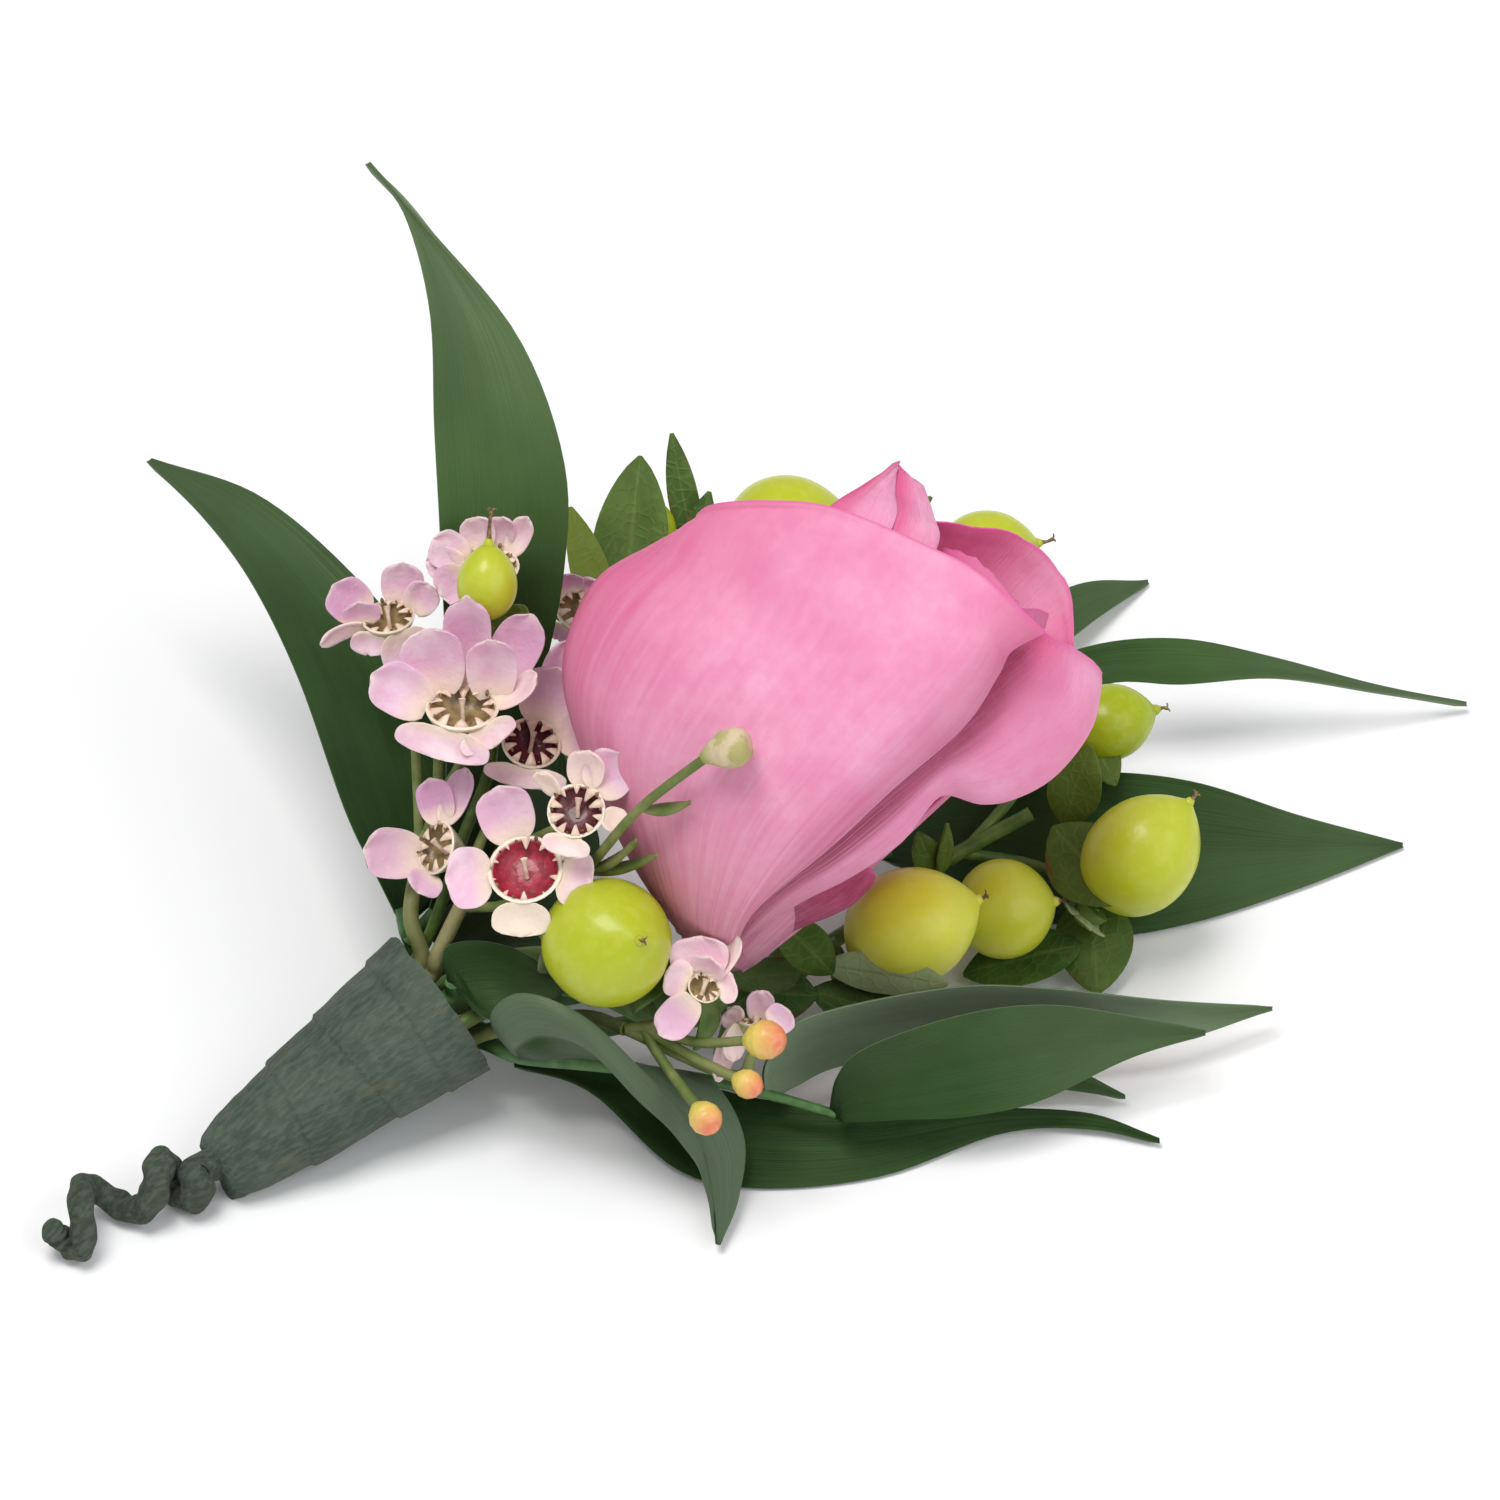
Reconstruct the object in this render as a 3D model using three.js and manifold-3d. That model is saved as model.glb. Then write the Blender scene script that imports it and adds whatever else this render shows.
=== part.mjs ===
// Boutonniere lying on a table: a pink rose with ruscus leaves, hypericum berries and
// waxflower, its stems wound together in florist's tape that ends in a taped wire curl.
// Millimetres, +Z up. The origin is the small flat under the lower end of the taped stem.
// X runs towards the right of the photograph and Y away from the viewer.
import * as THREE from 'three';
import { mergeVertices } from 'three/addons/utils/BufferGeometryUtils.js';
import Module from 'manifold-3d';

const wasm = await Module();
wasm.setup();

// Driving dimensions
const TAPE_LENGTH = 22;
const TAPE_END_RADIUS = 2.9;
const MOUTH_RADIUS = 6.35;
const BORE_DEPTH = 8;
const BORE_RADIUS = 5.2;
const BORE_END_RADIUS = 4.3;
const TAPE_HEADING = THREE.MathUtils.degToRad(33);
const TAPE_SLOPE = THREE.MathUtils.degToRad(18.7);
const STEM_RING = 3.95;
const STEM_RADIUS = 0.75;
const WIRE_RADIUS = 0.45;
const WIRE_CLEARANCE = 0.3;
const LEAF_THICKNESS = 0.65;
const SMALL_LEAF_THICKNESS = 0.6;
const TIP_HALF_WIDTH = 0.28;
const PETAL_THICKNESS = 0.9;
const SEAT_CLEARANCE = 0.35;
const FLOWER_RADIUS = 6;
const CUP_RADIUS = 2.5;
const TAIL_COIL_RADIUS = 1.5;

// Colours from the photograph
const LEAF_GREEN = '#2f5a35';
const HYPERICUM_GREEN = '#4d6b3a';
const BERRY_GREEN = '#a9bf2a';
const ROSE_PINK = '#e58ab8';
const WAXFLOWER_PINK = '#e9c3d6';
const WAXFLOWER_GREEN = '#66723a';
const TAPE_GREEN = '#54665c';
const WIRE_GREEN = '#4a5a50';

const model = new THREE.Group();
model.name = 'boutonniere';

// Points and curves
const vec = (point) => new THREE.Vector3(...point);

function smoothCurve(points) {
  const places = points.map((p) => (Array.isArray(p) ? vec(p) : p));
  return new THREE.CatmullRomCurve3(places, false, 'catmullrom', 0.5);
}

// Solids: a list of corners and triangles, turned to face outward
function solidFrom(corners, triangles) {
  let volume = 0;
  for (const [a, b, c] of triangles) {
    volume += corners[a].dot(new THREE.Vector3().crossVectors(corners[b], corners[c]));
  }
  const facing = volume < 0 ? triangles.map(([a, b, c]) => [a, c, b]) : triangles;
  const geometry = new THREE.BufferGeometry().setFromPoints(corners);
  geometry.setIndex(facing.flat());
  const merged = mergeVertices(geometry, 1e-4);
  return new wasm.Manifold(new wasm.Mesh({
    numProp: 3,
    vertProperties: new Float32Array(merged.attributes.position.array),
    triVerts: new Uint32Array(merged.index.array),
  }));
}

function join(solids) {
  return wasm.Manifold.union(solids);
}

// A skin drawn through rings of points, closed at both ends
function loft(rings) {
  const count = rings[0].length;
  const corners = rings.flat();
  const triangles = [];
  for (let i = 0; i < rings.length - 1; i++) {
    for (let j = 0; j < count; j++) {
      const a = i * count + j;
      const b = i * count + ((j + 1) % count);
      triangles.push([a, b, b + count], [a, b + count, a + count]);
    }
  }
  for (const [start, flip] of [[0, true], [(rings.length - 1) * count, false]]) {
    for (let j = 1; j < count - 1; j++) {
      triangles.push(flip ? [start, start + j + 1, start + j] : [start, start + j, start + j + 1]);
    }
  }
  return solidFrom(corners, triangles);
}

// A round stem through its points; radii are spread evenly from its first point to its last
function stem(points, radii, sides = 5, perSpan = 1) {
  const curve = smoothCurve(points);
  const steps = (points.length - 1) * perSpan;
  const normal = new THREE.Vector3(0.3, 0.2, 1);
  const rings = [];
  for (let i = 0; i <= steps; i++) {
    const centre = curve.getPoint(i / steps);
    const ahead = curve.getTangent(i / steps);
    const place = (i / steps) * (radii.length - 1);
    const before = Math.min(Math.floor(place), radii.length - 2);
    const radius = THREE.MathUtils.lerp(radii[before], radii[before + 1], place - before);
    normal.projectOnPlane(ahead).normalize();
    const side = new THREE.Vector3().crossVectors(ahead, normal);
    rings.push(Array.from({ length: sides }, (_, j) => {
      const angle = (j / sides) * Math.PI * 2;
      return centre.clone()
        .addScaledVector(normal, radius * Math.cos(angle))
        .addScaledVector(side, radius * Math.sin(angle));
    }));
  }
  return loft(rings);
}

// A thin sheet over a grid of points, split into triangles alike on both faces
function sheet(grid, thickness) {
  const rows = grid.length;
  const cols = grid[0].length;
  const top = [];
  const bottom = [];
  for (let i = 0; i < rows; i++) {
    for (let j = 0; j < cols; j++) {
      const along = grid[Math.min(i + 1, rows - 1)][j].clone().sub(grid[Math.max(i - 1, 0)][j]);
      const across = grid[i][Math.min(j + 1, cols - 1)].clone().sub(grid[i][Math.max(j - 1, 0)]);
      const normal = along.cross(across).normalize().multiplyScalar(thickness / 2);
      top.push(grid[i][j].clone().add(normal));
      bottom.push(grid[i][j].clone().sub(normal));
    }
  }
  const under = rows * cols;
  const triangles = [];
  for (let i = 0; i < rows - 1; i++) {
    for (let j = 0; j < cols - 1; j++) {
      const a = i * cols + j;
      const b = a + cols;
      triangles.push([a, b, b + 1], [a, b + 1, a + 1]);
      triangles.push([under + a, under + b + 1, under + b], [under + a, under + a + 1, under + b + 1]);
    }
  }
  const rim = [];
  for (let j = 0; j < cols - 1; j++) rim.push(j);
  for (let i = 0; i < rows - 1; i++) rim.push(i * cols + cols - 1);
  for (let j = cols - 1; j > 0; j--) rim.push((rows - 1) * cols + j);
  for (let i = rows - 1; i > 0; i--) rim.push(i * cols);
  rim.forEach((a, k) => {
    const b = rim[(k + 1) % rim.length];
    triangles.push([a, b, under + b], [a, under + b, under + a]);
  });
  return solidFrom([...top, ...bottom], triangles);
}

// A leaf between its two edges, which share their stations from base to tip; it is creased
// by the fold depth, or along a rib that is given
function leaf({ left, right, rib, fold = 0.8, rows = 9, thickness = LEAF_THICKNESS }) {
  const leftEdge = smoothCurve(left);
  const rightEdge = smoothCurve(right);
  const ribLine = rib && smoothCurve(rib);
  const grid = [];
  for (let i = 0; i <= rows; i++) {
    const t = i / rows;
    const a = leftEdge.getPoint(t);
    const c = rightEdge.getPoint(t);
    const ahead = leftEdge.getTangent(t).add(rightEdge.getTangent(t));
    const normal = c.clone().sub(a).cross(ahead).normalize();
    const depth = fold * Math.min(1, a.distanceTo(c) / 6);
    const b = ribLine ? ribLine.getPoint(t) : a.clone().lerp(c, 0.5).addScaledVector(normal, -depth);
    grid.push([a, b, c]);
  }
  return sheet(grid, thickness);
}

// A small leaf or sepal from its base to its tip, with a width and the direction of its width
function smallLeaf(base, tip, width, broadside, { rise = 0.6, rows = 3, belly = 0.45 } = {}) {
  const start = vec(base);
  const end = vec(tip);
  const ahead = end.clone().sub(start);
  const across = vec(broadside).projectOnPlane(ahead.clone().normalize()).normalize();
  const normal = across.clone().cross(ahead).normalize();
  const grid = [];
  for (let i = 0; i <= rows; i++) {
    const t = i / rows;
    const bend = t < belly ? t / belly : (1 - t) / (1 - belly);
    const half = Math.max(TIP_HALF_WIDTH, (width / 2) * Math.sin(bend * Math.PI / 2) ** 0.7);
    const centre = start.clone()
      .addScaledVector(ahead, t)
      .addScaledVector(normal, rise * Math.sin(t * Math.PI));
    const edge = (side) => centre.clone().addScaledVector(across, side * half);
    grid.push([edge(-1), centre.clone().addScaledVector(normal, -0.12 * half), edge(1)]);
  }
  return sheet(grid, SMALL_LEAF_THICKNESS);
}

// Any closed hollow that joining seals is filled: only the outer skin is kept
function meshFrom(solid, name, colour, roughness) {
  const { vertProperties, triVerts, numProp } = solid.simplify(0.004).getMesh();
  const owner = Array.from({ length: vertProperties.length / numProp }, (_, i) => i);
  const find = (i) => {
    while (owner[i] !== i) i = owner[i];
    return i;
  };
  for (let t = 0; t < triVerts.length; t += 3) {
    owner[find(triVerts[t + 1])] = find(triVerts[t]);
    owner[find(triVerts[t + 2])] = find(triVerts[t]);
  }
  const corner = (i) => new THREE.Vector3().fromArray(vertProperties, i * numProp);
  const volumes = new Map();
  for (let t = 0; t < triVerts.length; t += 3) {
    const shell = find(triVerts[t]);
    const [a, b, c] = [0, 1, 2].map((k) => corner(triVerts[t + k]));
    volumes.set(shell, (volumes.get(shell) ?? 0) + a.dot(b.cross(c)) / 6);
  }
  const shells = [...volumes].sort((a, b) => b[1] - a[1]);
  const outer = shells[0][0];
  const kept = [];
  for (let t = 0; t < triVerts.length; t += 3) {
    if (find(triVerts[t]) === outer) kept.push(triVerts[t], triVerts[t + 1], triVerts[t + 2]);
  }
  const geometry = new THREE.BufferGeometry();
  geometry.setAttribute('position', new THREE.BufferAttribute(new Float32Array(vertProperties), 3));
  geometry.setIndex(kept);
  const material = new THREE.MeshStandardMaterial({ color: colour, roughness, metalness: 0 });
  const mesh = new THREE.Mesh(mergeVertices(geometry, 1e-3), material);
  mesh.name = name;
  model.add(mesh);
}

// Frame of the taped stem: its axis, the direction across it away from the viewer, and up
const tapeEnd = new THREE.Vector3(-2.8, -1.6, 2.05);
const tapeAxis = new THREE.Vector3(
  Math.cos(TAPE_SLOPE) * Math.cos(TAPE_HEADING),
  Math.cos(TAPE_SLOPE) * Math.sin(TAPE_HEADING),
  Math.sin(TAPE_SLOPE),
);
const tapeSide = new THREE.Vector3(-Math.sin(TAPE_HEADING), Math.cos(TAPE_HEADING), 0);
const tapeUp = new THREE.Vector3().crossVectors(tapeAxis, tapeSide);

function inTape(distance, radius, degrees) {
  const angle = THREE.MathUtils.degToRad(degrees);
  return tapeEnd.clone()
    .addScaledVector(tapeAxis, distance)
    .addScaledVector(tapeSide, radius * Math.cos(angle))
    .addScaledVector(tapeUp, radius * Math.sin(angle));
}

function tapeRing(distance, radius, sides) {
  return Array.from({ length: sides }, (_, j) => inTape(distance, radius, (j / sides) * 360));
}

// The stretch of a stem inside the mouth of the tape, at its place on the ring of stems
function rooted(degrees, points) {
  return [
    inTape(TAPE_LENGTH - BORE_DEPTH + 1, 3.1, degrees),
    inTape(TAPE_LENGTH - 3.5, 3.6, degrees),
    inTape(TAPE_LENGTH + 0.5, STEM_RING, degrees),
    ...points,
  ];
}

// Wire path: inside the tape, out of its lower end and round the corkscrew of the tail,
// given by points on the coil's axis with the turn that the wire has made there
function wirePath() {
  const coil = smoothCurve([
    [-4.3, -2.9, 0.05], [-5.4, -3.3, 0.5], [-7.2, -3.6, 1.0], [-10.0, -4.9, 1.5],
    [-13.2, -6.4, 2.0], [-13.6, -9.2, 2.5], [-14.8, -10.2, 2.8],
  ]);
  const axisHeight = 2.85;
  const heading = new THREE.Vector3(0.45, -0.89, 0);
  const steps = 30;
  const points = [
    inTape(TAPE_LENGTH - BORE_DEPTH - 1, 0.6, 270),
    inTape(7, 0.3, 270),
    inTape(2.2, 0, 0),
  ];
  for (let i = 0; i <= steps; i++) {
    const [x, y, turn] = coil.getPoint(i / steps).toArray();
    const angle = turn * Math.PI * 2;
    const grown = Math.min(1, 0.55 + i / 8);
    points.push(new THREE.Vector3(x, y, axisHeight)
      .addScaledVector(heading, TAIL_COIL_RADIUS * grown * Math.sin(angle))
      .add(new THREE.Vector3(0, 0, TAIL_COIL_RADIUS * grown * Math.cos(angle))));
  }
  return points;
}

// Floral tape: a sleeve round the stems that narrows to the taped wire of the tail
function floralTape(path) {
  const profile = [
    [0, TAPE_END_RADIUS - 0.5], [0.6, TAPE_END_RADIUS], [4.5, 3.85], [7, 4.15], [7.4, 4.4],
    [13.4, 5.05], [13.8, 5.3], [18.6, 5.8], [19, 6.05], [TAPE_LENGTH, MOUTH_RADIUS],
  ];
  const sides = 16;
  const sleeve = loft(profile.map(([distance, radius]) => tapeRing(distance, radius, sides)));
  const bore = loft([
    tapeRing(TAPE_LENGTH - BORE_DEPTH, BORE_END_RADIUS, sides),
    tapeRing(TAPE_LENGTH - 2, BORE_RADIUS - 0.2, sides),
    tapeRing(TAPE_LENGTH + 1, BORE_RADIUS + 0.1, sides),
  ]);
  const tail = stem(path.slice(2), [1.35, 1.35, 1.3, 1.15, 1.05, 1.0], 7);
  const wireBore = stem(path, [WIRE_RADIUS + WIRE_CLEARANCE, WIRE_RADIUS + WIRE_CLEARANCE], 5);
  const below = new THREE.BoxGeometry(60, 60, 10).translate(0, 0, -5);
  below.deleteAttribute('normal');
  below.deleteAttribute('uv');
  const box = mergeVertices(below, 1e-4);
  const floor = new wasm.Manifold(new wasm.Mesh({
    numProp: 3,
    vertProperties: new Float32Array(box.attributes.position.array),
    triVerts: new Uint32Array(box.index.array),
  }));
  return join([sleeve, tail]).subtract(join([bore, wireBore])).subtract(floor);
}

function floralWire(path) {
  return stem(path.slice(0, -1), [WIRE_RADIUS, WIRE_RADIUS], 4);
}

// Rose frame: from the base of the bloom along its axis, across it to the right, and
// towards the viewer
const roseBase = new THREE.Vector3(35.4, 9.2, 14);
const roseAxis = new THREE.Vector3(0.522, 0.56, 0.643).normalize();
const roseFront = new THREE.Vector3(-0.031, -0.741, 0.67).projectOnPlane(roseAxis).normalize();
const roseRight = new THREE.Vector3().crossVectors(roseAxis, roseFront);

function inRose(along, right, front) {
  return roseBase.clone()
    .addScaledVector(roseAxis, along)
    .addScaledVector(roseRight, right)
    .addScaledVector(roseFront, front);
}

// A petal through a net of [along, right, front] points, listed by rows from base to rim
function netPetal(net, across = 7, along = 6) {
  const rows = net.map((row) => smoothCurve(row.map((p) => inRose(...p))));
  const grid = [];
  for (let i = 0; i <= along; i++) {
    const line = [];
    for (let j = 0; j <= across; j++) {
      const column = smoothCurve(rows.map((row) => row.getPoint(j / across)));
      line.push(column.getPoint(i / along));
    }
    grid.push(line);
  }
  return sheet(grid, PETAL_THICKNESS);
}

// A petal wrapped round the bud: its middle's angle, its spread to each side in degrees,
// its radius a third, two thirds and all the way up, its height and its lean to the right
function wrappedPetal({ angle, spread, radii, height, lean = 0, across = 4 }) {
  const net = [0, 1, 2, 3].map((row) => {
    const rise = [0.04, 0.36, 0.7, 1][row];
    return [-1, -0.5, 0, 0.5, 1].map((u) => {
      const turn = THREE.MathUtils.degToRad(angle + u * spread * [0.9, 0.95, 1, 0.85][row]);
      const radius = [3, ...radii][row] * (1 - 0.05 * u * u);
      const drop = row === 3 ? 0.12 * u * u * height : 0;
      return [rise * height - drop, radius * Math.cos(turn) + lean * rise, radius * Math.sin(turn)];
    });
  });
  return netPetal(net, across, 4);
}

function roseBloom() {
  const nearPetal = netPetal([
    [[2, -2.8, -1.5], [1.6, -3, 1.2], [1.2, -1.8, 3], [1.4, 0.4, 3.5], [2, 2.4, 2.8]],
    [[15, -16, -9], [13.5, -20, 0], [12, -13.5, 9.5], [12, -4.5, 12.5], [13, 4.6, 10.5]],
    [[26, -15.3, -11.5], [25, -21.2, -1], [25.8, -15, 11], [25.5, -3, 16.3], [25.2, 8.2, 13.8]],
    [[31.6, -12.3, -11], [32.6, -16.6, -1], [36.8, -10, 8.3], [38.8, 1.3, 12.2], [36.8, 10.2, 13.4]],
  ], 6, 5);
  const skirtPetal = netPetal([
    [[2, 2, -2.5], [2, 3, -1], [2, 3, 0.6], [2, 2.6, 1.8], [2, 2, 2.6]],
    [[15, 8, -9], [15, 11.5, -4], [14, 8, 4.5], [12, 4.8, 7], [9, 2.8, 6.5]],
    [[28, 9.2, -10.5], [28, 12.8, -3], [25, 11.2, 6], [20, 8, 8.6], [12.5, 5.6, 7.6]],
    [[37.6, 9, -8], [37, 13.6, -1.5], [32.8, 16, 2.5], [24.2, 12.4, 6], [15.5, 8.4, 7.4]],
  ], 5, 4);
  const backPetal = netPetal([
    [[2, -2.6, -2.2], [2, -0.8, -3.2], [2, 1.2, -3], [2, 2.6, -1.8]],
    [[15, -9, -12], [15, -1, -14], [15, 7, -11.5], [15, 10.5, -6]],
    [[29.5, -8, -12.6], [30, 0, -15], [29.2, 8.4, -12.4], [28, 12.2, -6.4]],
    [[37.6, -7, -11.4], [40.6, 1.4, -13.4], [40, 7, -11.4], [37.2, 11.4, -6.8]],
  ], 4, 4);
  const peakPetal = netPetal([
    [[5, -5, -1], [5, -3, 3], [5, 0, 3]],
    [[20, -11, -1], [20, -7, 7], [20, -1, 8]],
    [[32.5, -10.8, 0], [32.5, -7.2, 6.3], [32.5, -1, 6.8]],
    [[37.2, -9.4, 1], [41.8, -7.4, 3.2], [39, -1.4, 4.4]],
  ], 3, 4);
  const outerPetals = [
    { angle: 205, spread: 62, radii: [14.2, 16, 13.8], height: 33.5, lean: -2 },
    { angle: 268, spread: 55, radii: [13.2, 15.4, 15.6], height: 36, lean: -1 },
    { angle: 322, spread: 52, radii: [11.8, 13, 15], height: 33, lean: 0.6 },
  ];
  const innerPetals = [
    { angle: 20, spread: 80, radii: [9, 10.2, 8.4], height: 38, lean: 1.4 },
    { angle: 150, spread: 80, radii: [8.5, 9.4, 7.6], height: 38.8, lean: 1.4 },
    { angle: 270, spread: 80, radii: [8, 8.8, 7.4], height: 39, lean: 2 },
    { angle: 75, spread: 110, radii: [5.6, 5.8, 4.8], height: 38.6, lean: 2.6 },
  ];
  const lowerPetal = netPetal([
    [[2, 1.4, 2.6], [2, 2.8, 1], [2, 2.8, -1.4]],
    [[8, 4.6, 4.6], [7.5, 6.6, 1.5], [8, 6.6, -3]],
    [[12.5, 7.2, 5.2], [12, 9.2, 1], [14, 9.4, -4]],
  ], 3, 3);
  const coreRings = [[0.8, 2.2, 0], [2, 3.4, 0], [9, 8.5, -1], [18, 9.5, 0], [28, 7, 1.5], [35, 3.5, 2.5]];
  const core = loft(coreRings.map(([along, radius, right]) => Array.from({ length: 9 }, (_, j) => {
    const angle = (j / 9) * Math.PI * 2;
    return inRose(along, right + radius * Math.cos(angle), radius * Math.sin(angle));
  })));
  return join([
    core, nearPetal, skirtPetal, backPetal, peakPetal, lowerPetal,
    ...outerPetals.map(wrappedPetal), ...innerPetals.map(wrappedPetal),
  ]);
}

// Green of the rose: its stem, the swelling under the bloom and five sepals bent back
function roseStem() {
  const path = [
    inTape(TAPE_LENGTH - BORE_DEPTH + 1, 0.3, 90),
    inTape(TAPE_LENGTH, 0.3, 90),
    vec([21, 12.6, 10]), vec([27.5, 11, 10.5]), inRose(-4, 0, 0), inRose(0.3, 0, 0),
  ];
  const swelling = loft([[-4.5, 1.9], [-2.8, 3.1], [-0.8, 3.4], [0.4, 2.8]].map(([along, radius]) => (
    Array.from({ length: 10 }, (_, j) => {
      const angle = (j / 10) * Math.PI * 2;
      return inRose(along, radius * Math.cos(angle), radius * Math.sin(angle));
    })
  )));
  const sepals = [0, 1, 2, 3, 4].map((k) => {
    const angle = THREE.MathUtils.degToRad(k * 72 - 20);
    const base = inRose(-1.4, 2.6 * Math.cos(angle), 2.6 * Math.sin(angle));
    const tip = inRose(-5.6, 4.8 * Math.cos(angle), 4.8 * Math.sin(angle));
    const around = roseRight.clone().multiplyScalar(-Math.sin(angle))
      .addScaledVector(roseFront, Math.cos(angle));
    return smallLeaf(base.toArray(), tip.toArray(), 2.2, around.toArray(), { rise: 0.8, belly: 0.3 });
  });
  return join([stem(path, [1.5, 1.9, 1.9], 7, 2), swelling, ...sepals]);
}

// Ruscus: leaves on a stem, each sprig grown as one
function ruscusLeft() {
  const longLeaf = leaf({
    left: [[11.2, 15, 13.6], [9.6, 17.5, 15.6], [7, 22.5, 18], [2.9, 34.8, 20.5], [-1.1, 43.8, 22.5],
      [-5.4, 51.1, 23], [-10.5, 58.9, 22]],
    right: [[12.2, 15.2, 13.4], [13.3, 19.5, 14.2], [14, 28.9, 15], [11.8, 39.6, 18], [6.8, 46.6, 21],
      [-1, 53.8, 23], [-10.1, 59.3, 22]],
    rows: 12,
  });
  const tallLeaf = leaf({
    left: [[13.6, 14.4, 14], [14.8, 20, 16.8], [15, 30, 23], [14.5, 39, 32], [14, 45.7, 38],
      [13.5, 54.7, 42.5], [11.3, 63.4, 45], [8, 68.5, 46]],
    right: [[14.6, 14.6, 14], [19.5, 23, 15], [22.3, 34, 20], [24.3, 39.6, 28], [24.3, 46, 34],
      [20.5, 54.4, 40], [13, 62.3, 45], [8.4, 68.8, 46]],
    rows: 13,
  });
  const main = stem(rooted(8, [[12, 14.4, 12.6], [11.6, 15.6, 14]]), [0.6, STEM_RADIUS, 0.6], 5);
  const branch = stem([[12.1, 13.8, 12], [13, 14.2, 13], [14.2, 15, 14.2]], [0.6, 0.5], 5);
  return join([longLeaf, tallLeaf, main, branch]);
}

function ruscusFront() {
  const bottomLeaf = leaf({
    left: [[20.5, 6.4, 6.2], [26.5, 8, 4.5], [35.2, 6.2, 3.5], [40.8, 4.8, 3.2], [48.7, 4, 3],
      [58.3, 4.9, 2.2], [66.1, 5.1, 1.4], [71.7, 3, 0.7]],
    right: [[20.6, 5.6, 6.2], [26.5, 5.6, 3.3], [33.3, -0.4, 0.9], [40, -2, 0.36], [49.6, -0.7, 0.36],
      [59.2, 3.7, 0.5], [66.1, 3.8, 0.9], [71.7, 2.5, 0.7]],
    fold: 0.3, rows: 11,
  });
  const curledLeaf = leaf({
    left: [[20.6, 6, 7.2], [18.9, 3.2, 14.5], [21.3, 3.5, 17], [26, 1.7, 16.5], [30.6, -0.3, 12.5],
      [34.9, -2, 7], [36.2, -4.6, 3], [36.5, -8.5, 1.1]],
    right: [[21.4, 6, 7.2], [23.3, 3.6, 9.4], [26.6, 3.1, 10], [31.2, 2.7, 9.5], [36.1, 2.5, 8],
      [38.7, -0.2, 4.4], [38.3, -4.6, 2], [36.9, -8.6, 1.1]],
    rib: [[21, 5.8, 7.2], [21.2, 1.9, 12.5], [23.4, 1.6, 14], [26.9, 0.1, 14], [31, -1.9, 10.5],
      [34.8, -2.9, 5.6], [36.2, -4.7, 2.6], [36.7, -8.6, 1.1]],
    rows: 13,
  });
  const upperLeaf = leaf({
    left: [[40.3, 3, 6], [40.6, 3.3, 9.5], [43.5, 5, 12.5], [54.9, 7.4, 13.5], [62.9, 8.7, 12],
      [72.4, 11.6, 7.5], [81.1, 15.2, 3]],
    right: [[41.2, 2.4, 6], [42.8, 4.6, 5], [47.1, 7.6, 4.4], [57.1, 8.4, 4.2], [64.7, 9.4, 3.7],
      [72.7, 10.8, 3.4], [81.1, 14.8, 3]],
    rows: 12,
  });
  const nearLeaf = leaf({
    left: [[45.4, 2.2, 4.6], [46, 1.9, 9], [48.3, 2.3, 12], [55.7, 4.4, 13.5], [62.8, 6.4, 12.5],
      [70.9, 8.6, 8.5], [75.4, 9.8, 6]],
    right: [[46.1, 1.5, 4.6], [47.1, 0.8, 5], [51.4, 1.1, 5], [56.2, 1.4, 5], [62.1, 3.1, 5],
      [69.3, 7, 5.7], [75.4, 9.3, 6]],
    rows: 12,
  });
  const lowLeaf = leaf({
    left: [[51.5, 6.8, 4.6], [59.1, 9.6, 3.6], [65.1, 9, 2.2], [69.1, 7.3, 1.1]],
    right: [[51.5, 5.9, 4.6], [59.3, 6.8, 3], [64.8, 7.2, 1.8], [69.1, 6.9, 1.1]],
    fold: 0.3, rows: 5,
  });
  const main = stem(
    rooted(226, [[21, 6, 7], [27.3, 5.4, 6.6], [35.2, 4.4, 6.2], [40.8, 2.8, 6], [46, 1.9, 4.8]]),
    [0.6, STEM_RADIUS, 0.7, 0.6],
  );
  const branch = stem([[46, 1.9, 4.8], [48.5, 4.5, 4.4], [52.5, 6.4, 4.6]], [0.55, 0.45]);
  return join([bottomLeaf, curledLeaf, upperLeaf, nearLeaf, lowLeaf, main, branch]);
}

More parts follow.
